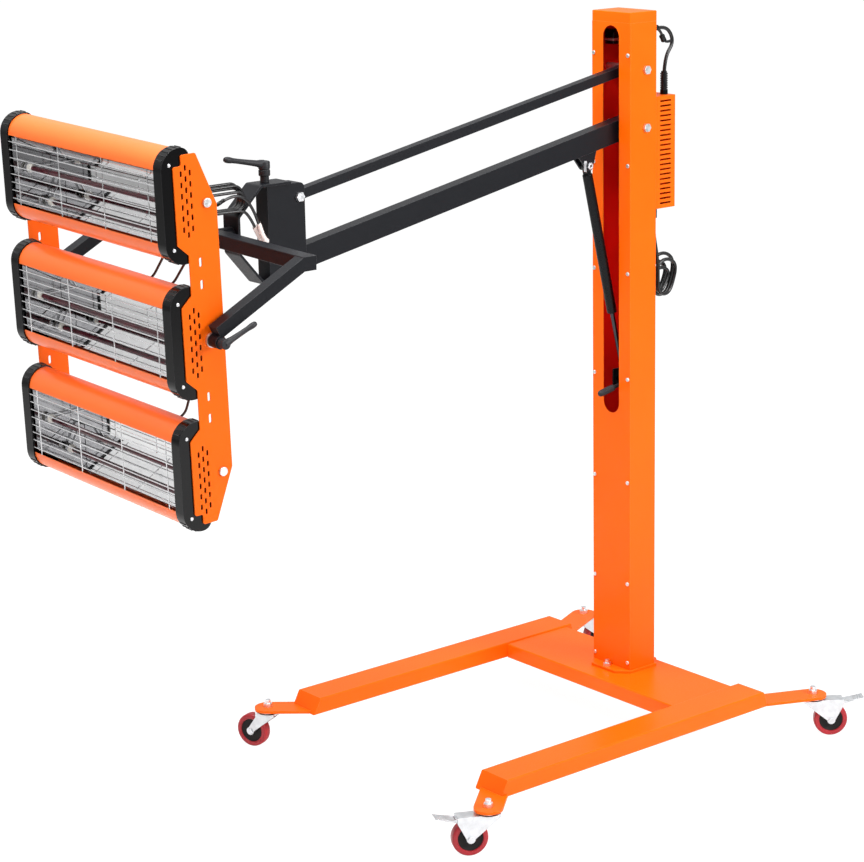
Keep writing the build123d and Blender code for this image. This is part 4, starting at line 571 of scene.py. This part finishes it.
# Loop at the back that carries the feed down into the control box
rearLoop = {
    "diameter": 0.008, "length": 0.175,
    "route": [
        (0.036, 0.0375, 1.556), (0.036, 0.084, 1.572), (0.036, 0.116, 1.532),
        (0.036, 0.084, 1.497), (0.036, 0.084, 1.449),
    ],
}
loopPiece = cordPiece("feedLoop", rearLoop["route"], rearLoop, "base", ["rear_loop_cord"])

# Corners that a cord's spline rounds to a half turn, and how far out they stand for a radius of 1
arc = [math.radians(angle) for angle in (22.5, 67.5, 112.5, 157.5)]
arcReach = 1 / math.cos(arc[0])


# one turn's corners, spread along X over the coil's pitch
def turnCorners(look, turn, around):
    shares = [turn + step / len(around) for step in range(len(around))]
    return [(look["startX"] - look["pitch"] * share, y, z) for share, (y, z) in zip(shares, around)]


# Mains cord, put away in a hank below the control box, each turn with its own width and height
hank = {
    "diameter": 0.008, "length": 1.50, "pitch": 0.00887, "startX": 0.020,
    "nearY": 0.084, "width": 0.058, "top": 1.011, "low": 0.985, "lean": 0.016, "lowShare": 0.6,
    "lead": [(0.020, 0.068, 1.168), (0.020, 0.068, 1.119), (0.020, 0.084, 1.050)],
    "spread": [
        (0.004, 0.006), (-0.010, -0.006), (0.013, 0.012),
        (-0.002, 0.001), (0.008, -0.008), (-0.006, 0.008),
    ],
    "tailBow": 0.012,
    # the tail's points, as shares of its bow with heights
    "tail": [(0.0, 1.011), (0.3, 0.962), (1.0, 0.935), (1.0, 0.912), (0.0, 0.892), (0.0, 0.873)],
}


# uneven turns that lean out at the top
def hankRoute(look):
    route = list(look["lead"])
    near = look["nearY"]
    for turn, (wider, higher) in enumerate(look["spread"]):
        farTop = near + look["width"] + wider
        farLow = farTop - look["lean"]
        low = look["low"] + look["lean"] * look["lowShare"]
        around = []
        for far, edge, sign in ((farLow, low, -1), (farTop, look["top"] + higher, 1)):
            reach = sign * abs(far - near) / 2 * arcReach
            middle = (near + far) / 2
            around += [(middle + reach * math.cos(a), edge + reach * math.sin(a)) for a in arc]
        route += turnCorners(look, turn, around)
    endX = look["startX"] - look["pitch"] * len(look["spread"])
    route += [(endX, near + look["tailBow"] * share, height) for share, height in look["tail"]]
    return route


hankPoints = hankRoute(hank)
hankPiece = cordPiece("mainsCord", hankPoints, hank, "base", ["power_cord_hank"])

# Lamp cable, its slack looped over the slope of the clevis, each turn with its own reach and rise
headCable = {
    "diameter": 0.006, "length": 1.14, "pitch": 0.0069, "startX": 0.029,
    "rear": -1.043, "front": -1.098, "middleZ": 1.318, "height": 0.041,
    "inset": 0.012, "lowInset": 0.016, "lowDrop": 0.3,
    "spread": [(0.009, -0.005), (0.002, 0.006), (0.010, 0.001), (-0.004, 0.009)],
    "lead": [(0.020, -1.000, 1.262), (0.029, -1.015, 1.281), (0.029, -1.030, 1.2975)],
    "strand": [
        (0.0295, -0.997, 1.2685), (0.037, -1.012, 1.298), (0.037, -1.034, 1.325),
        (0.037, -1.064, 1.331), (0.036, -1.095, 1.317),
    ],
    "strandLength": 0.130,
}


def coilRoute(look):
    radius = look["height"] / 2
    reach = radius * arcReach
    low, top = look["middleZ"] - radius, look["middleZ"] + radius
    rear, rearInset = look["rear"], look["rear"] - look["inset"]
    route = list(look["lead"])
    for turn, (reachOut, rise) in enumerate(look["spread"]):
        front, crown = look["front"] - reachOut, top + rise
        middle = (crown + low) / 2
        tall = reach * (crown - low) / (top - low)
        around = [(rearInset, low), (front + look["lowInset"], low - rise * look["lowDrop"])]
        around += [(front - reach * math.sin(a), middle - tall * math.cos(a)) for a in arc]
        around += [(front + look["inset"], crown), (rearInset, crown)]
        around += [(rear + reach * math.sin(a), middle + tall * math.cos(a)) for a in arc]
        route += turnCorners(look, turn, around)
    endX = look["startX"] - look["pitch"] * len(look["spread"])
    return route + [(endX, y, low) for y in (rearInset, look["front"], look["front"] - radius)]


# a closed sleeve over a cable's last stretch
splice = {
    "over": 0.018, "steps": 24,
    "profile": [
        (0.0030, 0.0), (0.0036, 0.0004), (0.0039, 0.0014), (0.0039, 0.0060), (0.0035, 0.0066),
        (0.0035, 0.0080), (0.0039, 0.0086), (0.0039, 0.0180), (0.0033, 0.0194), (0.0, 0.0200),
    ],
}


def splicePiece(name, points):
    end = Vector(points[-1])
    ahead = (end - Vector(points[-2])).normalized()
    place = moved(*(end - ahead * splice["over"]))
    place = place @ ahead.to_track_quat("Z", "Y").to_matrix().to_4x4()
    sleeve = lathe(bmesh.new(), splice["profile"], place, splice["steps"])
    return meshPiece(name, sleeve, "clevis", "blackPlastic", smooth=35)


coilPoints = coilRoute(headCable)
coilPiece = cordPiece("lampCable", coilPoints, headCable, "clevis", ["head_cord_coil"])
coilSplice = splicePiece("cableSplice", coilPoints)
strand = headCable["strand"]
strandPiece = cordPiece("lampCableStrand", strand, headCable, "clevis")
strandSplice = splicePiece("strandSplice", strand)

# Leads that cross the gaps behind the lamps, each from hole to hole, in the head's X and Z
lampLeads = {
    "diameter": 0.005, "lengths": [0.275, 0.278, 0.246],
    "inner": -0.00966, "outer": 0.045, "sag": 0.003,
    "runs": [
        [(0.140, 0.200), (0.101, 0.150), (0.057, 0.100), (0.016, 0.050)],
        [(0.219, 0.200), (0.176, 0.150), (0.128, 0.100), (0.085, 0.050)],
        [(0.172, -0.050), (0.146, -0.100), (0.124, -0.150), (0.101, -0.200)],
    ],
}
for number, run in enumerate(lampLeads["runs"], start=1):
    inner, outer, sag = (lampLeads[name] for name in ("inner", "outer", "sag"))
    depths = [inner, outer, outer + sag, outer + sag, outer, inner]
    spots = zip([run[0], *run, run[-1]], depths)
    route = [tuple(headPlace @ Vector((x, y, z))) for (x, z), y in spots]
    replaced = ["lamp_leads"] if number == 1 else ()
    lead = cordPiece("lampLead%d" % number, route, lampLeads, "head", replaced)
print("cords laid")

# Pale sleeves that carry the two leads into the front of the bracket, ruffled along their length
sleeves = {
    "radius": 0.0046, "neck": 0.0036, "ruffle": 0.00035, "steps": 24, "mouthY": -0.9665,
    "runs": [
        [(0.0198, -0.9997, 1.2616), (0.0110, -0.985, 1.243), (0.0050, -0.974, 1.226)],
        [(0.0294, -0.9968, 1.2681), (0.0235, -0.985, 1.2449), (0.0150, -0.974, 1.229)],
    ],
}
sleeveMesh = bmesh.new()
for run in sleeves["runs"]:
    corners = [Vector(point) for point in run]
    corners.append(Vector((run[-1][0], sleeves["mouthY"], run[-1][2])))
    spots, widths = [], []
    for step in range(sleeves["steps"] + 1):
        ends = corners
        while len(ends) > 1:
            ends = [one.lerp(two, step / sleeves["steps"]) for one, two in zip(ends, ends[1:])]
        spots.append(ends[0])
        ruffle = sleeves["ruffle"] if step % 2 else 0.0
        widths.append(sleeves["radius"] + ruffle if step else sleeves["neck"])
    rod(sleeveMesh, spots, widths, moved())
meshPiece(
    "leadSleeves", sleeveMesh, "arm_bracket", "paleSleeve", ["box_leads"], smooth=60,
)

# Casters: red tread on a dark core. Each spot has its X, Y and heading
wheelLook = {
    "trail": 0.040, "radius": 0.0375, "steps": 72,
    "spots": {
        "front_left": (-0.377, -0.733, 202.0), "front_right": (0.377, -0.733, 244.0),
        "rear_left": (-0.377, 0.222, 75.0), "rear_right": (0.377, 0.222, 53.0),
    },
    "tread": [
        (0.0262, -0.0098), (0.0272, -0.0112), (0.0325, -0.0120), (0.0352, -0.0113),
        (0.0370, -0.0092), (0.0375, -0.0060), (0.0375, 0.0060), (0.0370, 0.0092),
        (0.0352, 0.0113), (0.0325, 0.0120), (0.0272, 0.0112), (0.0262, 0.0098),
        (0.0262, -0.0098),
    ],
    "core": [
        (0.0042, -0.0118), (0.0088, -0.0118), (0.0094, -0.0075), (0.0215, -0.0070),
        (0.0262, -0.0098), (0.0262, 0.0098), (0.0215, 0.0070), (0.0094, 0.0075),
        (0.0088, 0.0118), (0.0042, 0.0118), (0.0042, -0.0118),
    ],
}


def casterPlace(corner):
    x, y, heading = wheelLook["spots"][corner]
    return moved(x, y, 0) @ turned("Z", heading)


for corner in wheelLook["spots"]:
    body = "wheel_" + corner
    axle = casterPlace(corner) @ moved(wheelLook["trail"], 0, wheelLook["radius"]) @ turned("X", 90)
    tread = lathe(bmesh.new(), wheelLook["tread"], axle, wheelLook["steps"])
    meshPiece("tread_" + corner, tread, body, "treadRed", ["caster_" + body])
    core = lathe(bmesh.new(), wheelLook["core"], axle, wheelLook["steps"])
    meshPiece("core_" + corner, core, body, "coreBlack")

# Pressed foot pedals: a ribbed plate with an upturned tip, folded cheeks and a rolled hinge
pedalLook = {
    "reach": 0.062, "height": 0.0775, "tilt": 10.78, "half": 0.015, "bevel": 0.0004,
    "plate": [
        (0.0090, -0.0008), (0.0300, -0.0008), (0.0420, -0.0006), (0.0485, 0.0000),
        (0.0520, 0.0008), (0.0516, 0.0020), (0.0480, 0.0014), (0.0416, 0.0009),
        (0.0300, 0.0009), (0.0090, 0.0009),
    ],
    "ribs": [0.0300, 0.0350, 0.0400, 0.0447], "ribHalf": 0.0128, "ribRadius": 0.0011,
    "ribHeight": 0.0006, "ribSteps": 12, "bendStart": 0.036, "bendSlope": 0.06,
    "cheek": 0.0128, "cheekThick": 0.0014,
    "cheekSide": [
        (0.0, -0.0045), (0.0, 0.0045), (0.012, 0.0012), (0.034, 0.0006), (0.034, -0.0022),
    ],
    "hinge": [
        (0.0026, -0.0128), (0.0048, -0.0128), (0.0048, 0.0128), (0.0026, 0.0128),
        (0.0026, -0.0128),
    ],
    "hingeSteps": 32,
}


def pedalMesh(look, pedal):
    flat = pedal @ turned("X", 90)
    pressed = prism(bmesh.new(), look["plate"], -look["half"], look["half"], flat)
    for along in look["ribs"]:
        lift = look["ribHeight"] + max(0.0, along - look["bendStart"]) * look["bendSlope"]
        ends = [(along, -look["ribHalf"], lift), (along, look["ribHalf"], lift)]
        rod(pressed, ends, [look["ribRadius"]] * 2, pedal, look["ribSteps"])
    for side in (-1, 1):
        low, high = sorted([side * look["cheek"], side * (look["cheek"] - look["cheekThick"])])
        prism(pressed, look["cheekSide"], low, high, flat)
    return lathe(pressed, look["hinge"], flat, look["hingeSteps"])


for corner in brakedCasters:
    hinge = casterPlace(corner) @ moved(pedalLook["reach"], 0, pedalLook["height"])
    meshPiece(
        "pedal_" + corner, pedalMesh(pedalLook, hinge @ turned("Y", -pedalLook["tilt"])),
        "brake_" + corner, "pressedZinc", ["brake_pedal_" + corner],
        bevel=pedalLook["bevel"],
    )


# Clamp levers: a stepped hub and a tapered handle with a rounded tip
handleSteps = 32


def leverMesh(look, place):
    mesh = lathe(bmesh.new(), look["hub"], place)
    start, end = Vector(look["start"]), Vector(look["end"])
    spots = [start.lerp(end, share) for share, width in look["handle"]]
    rod(mesh, spots, [width for share, width in look["handle"]], place, handleSteps)
    return mesh


panLever = {
    "spot": (0.0, -0.958, 1.3406),
    "hub": [
        (0.0, 0.0), (0.0084, 0.0), (0.0088, 0.0004), (0.0088, 0.0122), (0.0106, 0.0130),
        (0.0114, 0.0140), (0.0114, 0.0236), (0.0104, 0.0244), (0.0104, 0.0262),
        (0.0115, 0.0270), (0.0115, 0.0388), (0.0106, 0.0410), (0.0070, 0.0420), (0.0, 0.0421),
    ],
    "start": (0.0, -0.002, 0.0352), "end": (0.0, -0.0935, 0.0540),
    "handle": [
        (0.0, 0.0088), (0.09, 0.0080), (0.16, 0.0064), (0.40, 0.0055), (0.66, 0.0050),
        (0.78, 0.0052), (0.84, 0.0060), (0.90, 0.0063), (0.95, 0.0058), (0.985, 0.0042),
        (1.0, 0.0012),
    ],
}
meshPiece(
    "panClamp", leverMesh(panLever, moved(*panLever["spot"])), "pan_lever", "leverPlastic",
    ["pan_lever"], smooth=35,
)
tiltLever = {
    "spot": (0.3113, 0.0, 0.0),
    "hub": [
        (0.0051, 0.0), (0.0088, 0.0), (0.0095, 0.0008), (0.0095, 0.0092), (0.0086, 0.0098),
        (0.0086, 0.0106), (0.0095, 0.0112), (0.0095, 0.0158), (0.0086, 0.0168), (0.0, 0.0170),
    ],
    "start": (0.0, 0.0, 0.0112), "end": (-0.0288, 0.0690, 0.0122),
    "handle": [
        (0.0, 0.0072), (0.12, 0.0068), (0.22, 0.0056), (0.50, 0.0049), (0.70, 0.0047),
        (0.80, 0.0053), (0.88, 0.0056), (0.94, 0.0052), (0.98, 0.0038), (1.0, 0.0012),
    ],
}
tiltPlace = yokePlace @ moved(*tiltLever["spot"]) @ turned("Y", 90)
meshPiece(
    "tiltClamp", leverMesh(tiltLever, tiltPlace), "tilt_lever", "leverPlastic",
    ["tilt_lever"], smooth=35,
)

# Release lever: hub on the foot pin, a thin rod and a ribbed grip
grip = {
    "x": 0.0123, "z": 0.790, "slope": 11.0, "hubHalf": 0.004, "steps": 40,
    "hub": [
        (0.0053, 0.0), (0.0083, 0.0), (0.0090, 0.0007), (0.0090, 0.0073), (0.0083, 0.0080),
        (0.0053, 0.0080), (0.0053, 0.0),
    ],
    "rod": [
        (0.0, 0.0086), (0.0040, 0.0086), (0.0040, 0.0436), (0.0058, 0.0440), (0.0070, 0.0458),
        (0.0072, 0.0480),
    ],
    "ribs": 14, "ribStep": 0.0024, "ribStart": 0.0490,
    "rib": [(0.0068, 0.0), (0.0076, 0.0006), (0.0076, 0.0016), (0.0068, 0.0021)],
    "tip": [(0.0072, 0.0838), (0.0066, 0.0868), (0.0046, 0.0892), (0.0, 0.0900)],
}
gripProfile = list(grip["rod"])
for rib in range(grip["ribs"]):
    base = grip["ribStart"] + rib * grip["ribStep"]
    gripProfile += [(radius, base + rise) for radius, rise in grip["rib"]]
gripProfile += grip["tip"]
gripPlace = moved(grip["x"], 0, grip["z"]) @ turned("X", grip["slope"] + 90)
hubPlace = moved(grip["x"] - grip["hubHalf"], 0, grip["z"]) @ turned("Y", 90)
gripMesh = lathe(bmesh.new(), gripProfile, gripPlace, grip["steps"])
lathe(gripMesh, grip["hub"], hubPlace, grip["steps"])
meshPiece(
    "releaseGrip", gripMesh, "release_lever", "leverPlastic", ["release_lever"],
    smooth=30,
)

# Spring's upper eye: a locking clip beside the fork, a rimmed pin end and a flat black disc of
# painted shade in the pin's hole
springEnd = {
    "spot": (0.0163, -0.1141, 1.2812), "steps": 32, "clipX": (0.0124, 0.0142), "bevel": 0.0003,
    "rim": [
        (0.0026, 0.0), (0.0026, 0.0012), (0.0032, 0.0016), (0.0056, 0.0016), (0.0062, 0.0010),
        (0.0062, -0.0004),
    ],
    "hole": [(0.0026, 0.0002), (0.0, 0.0002)], "holeSteps": 24,
    "clip": [
        (-0.1300, 1.2705), (-0.1246, 1.2690), (-0.1234, 1.2728), (-0.1252, 1.2760),
        (-0.1246, 1.2850), (-0.1226, 1.2890), (-0.1240, 1.2930), (-0.1302, 1.2940),
        (-0.1312, 1.2900), (-0.1312, 1.2740),
    ],
}
pinEnd = moved(*springEnd["spot"]) @ turned("Y", 90)
clipMesh = prism(bmesh.new(), springEnd["clip"], *springEnd["clipX"], faceX)
lathe(clipMesh, springEnd["rim"], pinEnd, springEnd["steps"])
meshPiece(
    "springClip", clipMesh, "lower_arm", "zincPlate", smooth=35,
    bevel=springEnd["bevel"],
)
# a flat black disc stands for the shaded hollow of the pin: painted shade
holeShadeMesh = lathe(bmesh.new(), springEnd["hole"], pinEnd, springEnd["holeSteps"])
meshPiece("springPinHoleShade", holeShadeMesh, "lower_arm", "blackPlastic")

# Strain relief where the feed leaves the column, and the clamp seen inside the slot's top
feed = {
    "exit": (0.036, 0.0397, 1.5568), "rise": 71.0, "steps": 32,
    "relief": [
        (0.0042, 0.0), (0.0086, 0.0), (0.0086, 0.0030), (0.0070, 0.0034), (0.0070, 0.0058),
        (0.0062, 0.0062), (0.0062, 0.0086), (0.0067, 0.0090), (0.0067, 0.0114), (0.0059, 0.0118),
        (0.0059, 0.0142), (0.0064, 0.0146), (0.0063, 0.0170), (0.0056, 0.0174), (0.0055, 0.0198),
        (0.0060, 0.0202), (0.0058, 0.0226), (0.0052, 0.0232), (0.0048, 0.0262), (0.0042, 0.0264),
    ],
    "joint": (0.036, 0.0800, 1.5400), "jointFall": 150.0,
    "jointProfile": [
        (0.0, -0.0085), (0.0048, -0.0082), (0.0062, -0.0066), (0.0062, -0.0018),
        (0.0055, -0.0012), (0.0055, 0.0012), (0.0062, 0.0018), (0.0062, 0.0066),
        (0.0048, 0.0082), (0.0, 0.0085),
    ],
    "block": [
        (-0.0520, 1.5290), (-0.0250, 1.5290), (-0.0230, 1.5340), (-0.0230, 1.5560),
        (-0.0290, 1.5620), (-0.0520, 1.5620),
    ],
    "blockY": (-0.010, 0.014), "blockBevel": 0.003,
    "strap": [(-0.0500, 1.5370), (-0.0215, 1.5370), (-0.0215, 1.5425), (-0.0500, 1.5425)],
    "strapY": (-0.0125, 0.0120), "strapBevel": 0.001,
}
branch = {
    "diameter": 0.006, "length": 0.060,
    "route": [
        (0.036, 0.0600, 1.5630), (0.036, 0.0700, 1.5580), (0.036, 0.0770, 1.5480),
        (0.036, 0.0820, 1.5360), (0.036, 0.0930, 1.5300), (0.036, 0.1050, 1.5330),
    ],
}
reliefPlace = moved(*feed["exit"]) @ turned("X", -feed["rise"])
reliefMesh = lathe(bmesh.new(), feed["relief"], reliefPlace, feed["steps"])
jointPlace = moved(*feed["joint"]) @ turned("X", -feed["jointFall"])
lathe(reliefMesh, feed["jointProfile"], jointPlace, feed["steps"])
meshPiece("feedRelief", reliefMesh, "base", "blackPlastic", smooth=35)
branchPiece = cordPiece("feedBranch", branch["route"], branch, "base")
meshPiece(
    "feedClamp", prism(bmesh.new(), feed["block"], *feed["blockY"], faceY), "base",
    "blackPlastic", bevel=feed["blockBevel"],
)
meshPiece(
    "feedClampStrap", prism(bmesh.new(), feed["strap"], *feed["strapY"], faceY), "base",
    "pressedZinc", bevel=feed["strapBevel"],
)

# Plain marks on the rear panel: ticks round the timer and a short bar beside each rocker
marks = {
    "depths": (0.1003, 0.1006), "timer": (0.0, 1.270), "ring": (0.0205, 0.0245), "ticks": 11,
    "sweep": 300.0, "rockers": [1.3882, 1.3562, 1.3242], "bar": (0.0160, 0.0225), "half": 0.0007,
}
markMesh = bmesh.new()
for tick in range(marks["ticks"]):
    angle = math.radians(90 + marks["sweep"] * (tick / (marks["ticks"] - 1) - 0.5))
    ahead = Vector((math.cos(angle), math.sin(angle)))
    side = Vector((-ahead.y, ahead.x)) * marks["half"]
    inner, outer = (Vector(marks["timer"]) + ahead * radius for radius in marks["ring"])
    corners = [inner - side, outer - side, outer + side, inner + side]
    prism(markMesh, corners, *marks["depths"], faceY)
for z in marks["rockers"]:
    near, far = marks["bar"]
    low, high = z - marks["half"], z + marks["half"]
    prism(markMesh, [(near, low), (far, low), (far, high), (near, high)], *marks["depths"], faceY)
meshPiece("panelMarks", markMesh, "base", "markWhite", smooth=35)
print("levers, wheels and pedals made")

# Inside each lamp: bright end plates, ruby tube with ceramic ends held by a clip
lampLook = {
    "heights": [0.250, 0.0, -0.250], "tubeY": -0.045, "holderX": 0.2252, "steps": 32,
    "plateX": (0.2492, 0.2498), "plateBevel": 0.0001,
    "plate": [(-0.0724, 0.0618), (0.0074, 0.0164), (0.0074, -0.0164), (-0.0724, -0.0618)],
    "glass": [
        (0.0, -0.2290), (0.0030, -0.2290), (0.0046, -0.2262), (0.0055, -0.2215),
        (0.0055, 0.2215), (0.0046, 0.2262), (0.0030, 0.2290), (0.0, 0.2290),
    ],
    "ceramic": [
        (0.0, 0.0), (0.0062, 0.0), (0.0070, 0.0008), (0.0070, 0.0070), (0.0082, 0.0078),
        (0.0082, 0.0200), (0.0074, 0.0210), (0.0, 0.0212),
    ],
    "clip": [
        (0.0086, 0.0096), (0.0094, 0.0096), (0.0094, 0.0176), (0.0086, 0.0176),
        (0.0086, 0.0096),
    ],
    "clipBevel": 0.0002, "stripX": (0.2350, 0.2426),
    "strip": [(-0.0368, -0.0006), (0.0072, -0.0006), (0.0072, 0.0006), (-0.0368, 0.0006)],
}


# a flat piece across a lamp at both ends, between two distances from its middle
def bothEnds(mesh, outline, reach, lamp):
    for side in (-1, 1):
        low, high = sorted(side * x for x in reach)
        prism(mesh, outline, low, high, lamp @ faceX)
    return mesh


for number, height in enumerate(lampLook["heights"], start=1):
    lamp = headPlace @ moved(0, 0, height)
    tubePlace = lamp @ moved(0, lampLook["tubeY"], 0) @ turned("Y", 90)
    tube = lathe(bmesh.new(), lampLook["glass"], tubePlace, lampLook["steps"])
    meshPiece(
        "heaterTube%d" % number, tube, "head", "rubyQuartz",
        ["heater_tubes"] if number == 1 else (), smooth=50,
    )
    ends, clips = bmesh.new(), bmesh.new()
    for side in (-1, 1):
        outward = lamp @ moved(side * lampLook["holderX"], lampLook["tubeY"], 0)
        outward = outward @ turned("Y", side * 90)
        lathe(ends, lampLook["ceramic"], outward, lampLook["steps"])
        lathe(clips, lampLook["clip"], outward, lampLook["steps"])
    bothEnds(clips, lampLook["strip"], lampLook["stripX"], lamp)
    plates = bothEnds(bmesh.new(), lampLook["plate"], lampLook["plateX"], lamp)
    meshPiece(
        "heaterEnds%d" % number, ends, "head", "ceramic",
        ["tube_holders"] if number == 1 else (), smooth=35,
    )
    meshPiece(
        "heaterClips%d" % number, clips, "head", "brightWire", smooth=35,
        bevel=lampLook["clipBevel"],
    )
    meshPiece(
        "lampEndPlates%d" % number, plates, "head", "endSheet",
        bevel=lampLook["plateBevel"],
    )

# Small screws in the end caps
capScrews = {
    "spots": [(-0.064, 0.076), (-0.064, -0.076)], "x": 0.2767, "steps": 16,
    "profile": [(0.0, -0.001), (0.0034, -0.001), (0.0034, 0.0008), (0.0026, 0.0016), (0.0, 0.0018)],
}
screwMesh = bmesh.new()
for height in lampLook["heights"]:
    for side in (-1, 1):
        for y, z in capScrews["spots"]:
            spot = headPlace @ moved(side * capScrews["x"], y, height + z) @ turned("Y", side * 90)
            lathe(screwMesh, capScrews["profile"], spot, capScrews["steps"])
meshPiece("capScrews", screwMesh, "head", "zincPlate", smooth=35)
print("lamps dressed")


# Camera at the photograph's angle, its focal length in pixels of the photograph's width
cameraLook = {
    "place": (3.9159, -3.7311, 2.0813), "yaw": 50.94, "pitch": 14.568, "roll": -1.119,
    "focal": 2491.9, "width": 864, "sensor": 36.0, "far": 300.0,
}


def cameraTurn(look):
    yaw, pitch, roll = (math.radians(look[name]) for name in ("yaw", "pitch", "roll"))
    right = Vector((math.cos(yaw), math.sin(yaw), 0))
    level = math.cos(pitch)
    back = Vector((math.sin(yaw) * level, -math.cos(yaw) * level, math.sin(pitch)))
    up = back.cross(right)
    rolledRight = right * math.cos(roll) + up * math.sin(roll)
    rolledUp = up * math.cos(roll) - right * math.sin(roll)
    return Matrix((rolledRight, rolledUp, back)).transposed().to_4x4()


lens = bpy.data.cameras.new("camera")
lens.sensor_width = cameraLook["sensor"]
lens.sensor_fit = "HORIZONTAL"
lens.lens = cameraLook["focal"] * cameraLook["sensor"] / cameraLook["width"]
lens.clip_end = cameraLook["far"]
camera = bpy.data.objects.new("camera", lens)
bpy.context.scene.collection.objects.link(camera)
camera.matrix_world = moved(*cameraLook["place"]) @ cameraTurn(cameraLook)
bpy.context.scene.camera = camera

# Soft studio light: a large panel overhead, one at the right and a weak one in front
lightPanels = {
    "overhead": {"place": (0.2, -1.6, 4.0), "aim": (0.0, -0.6, 0.7), "size": 3.0, "power": 222.0},
    "right": {"place": (3.5, 1.0, 2.5), "aim": (0.0, 0.0, 1.35), "size": 1.8, "power": 142.0},
    "front": {"place": (0.8, -5.6, 2.2), "aim": (0.0, -0.4, 0.9), "size": 2.8, "power": 20.0},
}
for name, look in lightPanels.items():
    glow = bpy.data.lights.new(name, "AREA")
    glow.shape = "SQUARE"
    glow.size = look["size"]
    glow.energy = look["power"]
    lightPanel = bpy.data.objects.new(name, glow)
    bpy.context.scene.collection.objects.link(lightPanel)
    aim = Vector(look["aim"]) - Vector(look["place"])
    facing = aim.to_track_quat("-Z", "Y").to_matrix().to_4x4()
    lightPanel.matrix_world = moved(*look["place"]) @ facing

# Sky: a weak even glow, but reflections see a ceiling brighter than the walls, and the camera white
skyLook = {"glow": 0.29, "wall": 0.40, "ceiling": 1.25, "rise": 0.8}
world = bpy.data.worlds.new("studio")
bpy.context.scene.world = world
world.use_nodes = True
sky = Shading(world.node_tree)
skyHeight = sky.axis(sky.node("ShaderNodeTexCoord", output="Generated"), "Z")
skyLevel = sky.spread(skyHeight, 0.0, skyLook["rise"], skyLook["wall"], skyLook["ceiling"])
seenLevel = skyLevel.orMore(sky.ray("Camera"))
plainSky, seenSky = (
    sky.node("ShaderNodeBackground", {}, {"Color": whiteLight, "Strength": strength})
    for strength in (skyLook["glow"], seenLevel)
)
seen = sky.ray("Camera").orMore(sky.ray("Glossy")).orMore(sky.ray("Transmission"))
skyMix = sky.node("ShaderNodeMixShader", {}, {0: seen, 1: plainSky, 2: seenSky})
sky.tree.nodes.remove(sky.tree.nodes["Background"])
sky.feed(sky.tree.nodes["World Output"].inputs["Surface"], skyMix)

# Pale floor that keeps a faint shadow
floorLook = {
    "half": 80.0, "thick": 0.02, "colour": (0.94, 0.94, 0.94, 1), "rough": 0.8, "specular": 0.1,
    "show": 0.84, "glow": 1.16,
}
half = floorLook["half"]
floorEdge = [(-half, -half), (half, -half), (half, half), (-half, half)]
ground = prism(bmesh.new(), floorEdge, -floorLook["thick"], 0.0, moved())
groundData = bpy.data.meshes.new("floor")
ground.to_mesh(groundData)
ground.free()
floorFinish = Finish(
    "floorPale", BaseColor=floorLook["colour"], Roughness=floorLook["rough"],
    SpecularIORLevel=floorLook["specular"],
)
plain = Value(floorFinish, floorFinish.shader.outputs[0])
glowing = {"Color": whiteLight, "Strength": floorLook["glow"]}
white = floorFinish.node("ShaderNodeEmission", {}, glowing)
share = floorFinish.ray("Camera") * floorLook["show"]
both = floorFinish.node("ShaderNodeMixShader", {}, {0: share, 1: plain, 2: white})
floorFinish.feed(floorFinish.tree.nodes["Material Output"].inputs["Surface"], both)
groundData.materials.append(floorFinish.material)
floor = bpy.data.objects.new("floor", groundData)
bpy.context.scene.collection.objects.link(floor)
bpy.context.scene.view_settings.view_transform = "Standard"

print("scene ready")
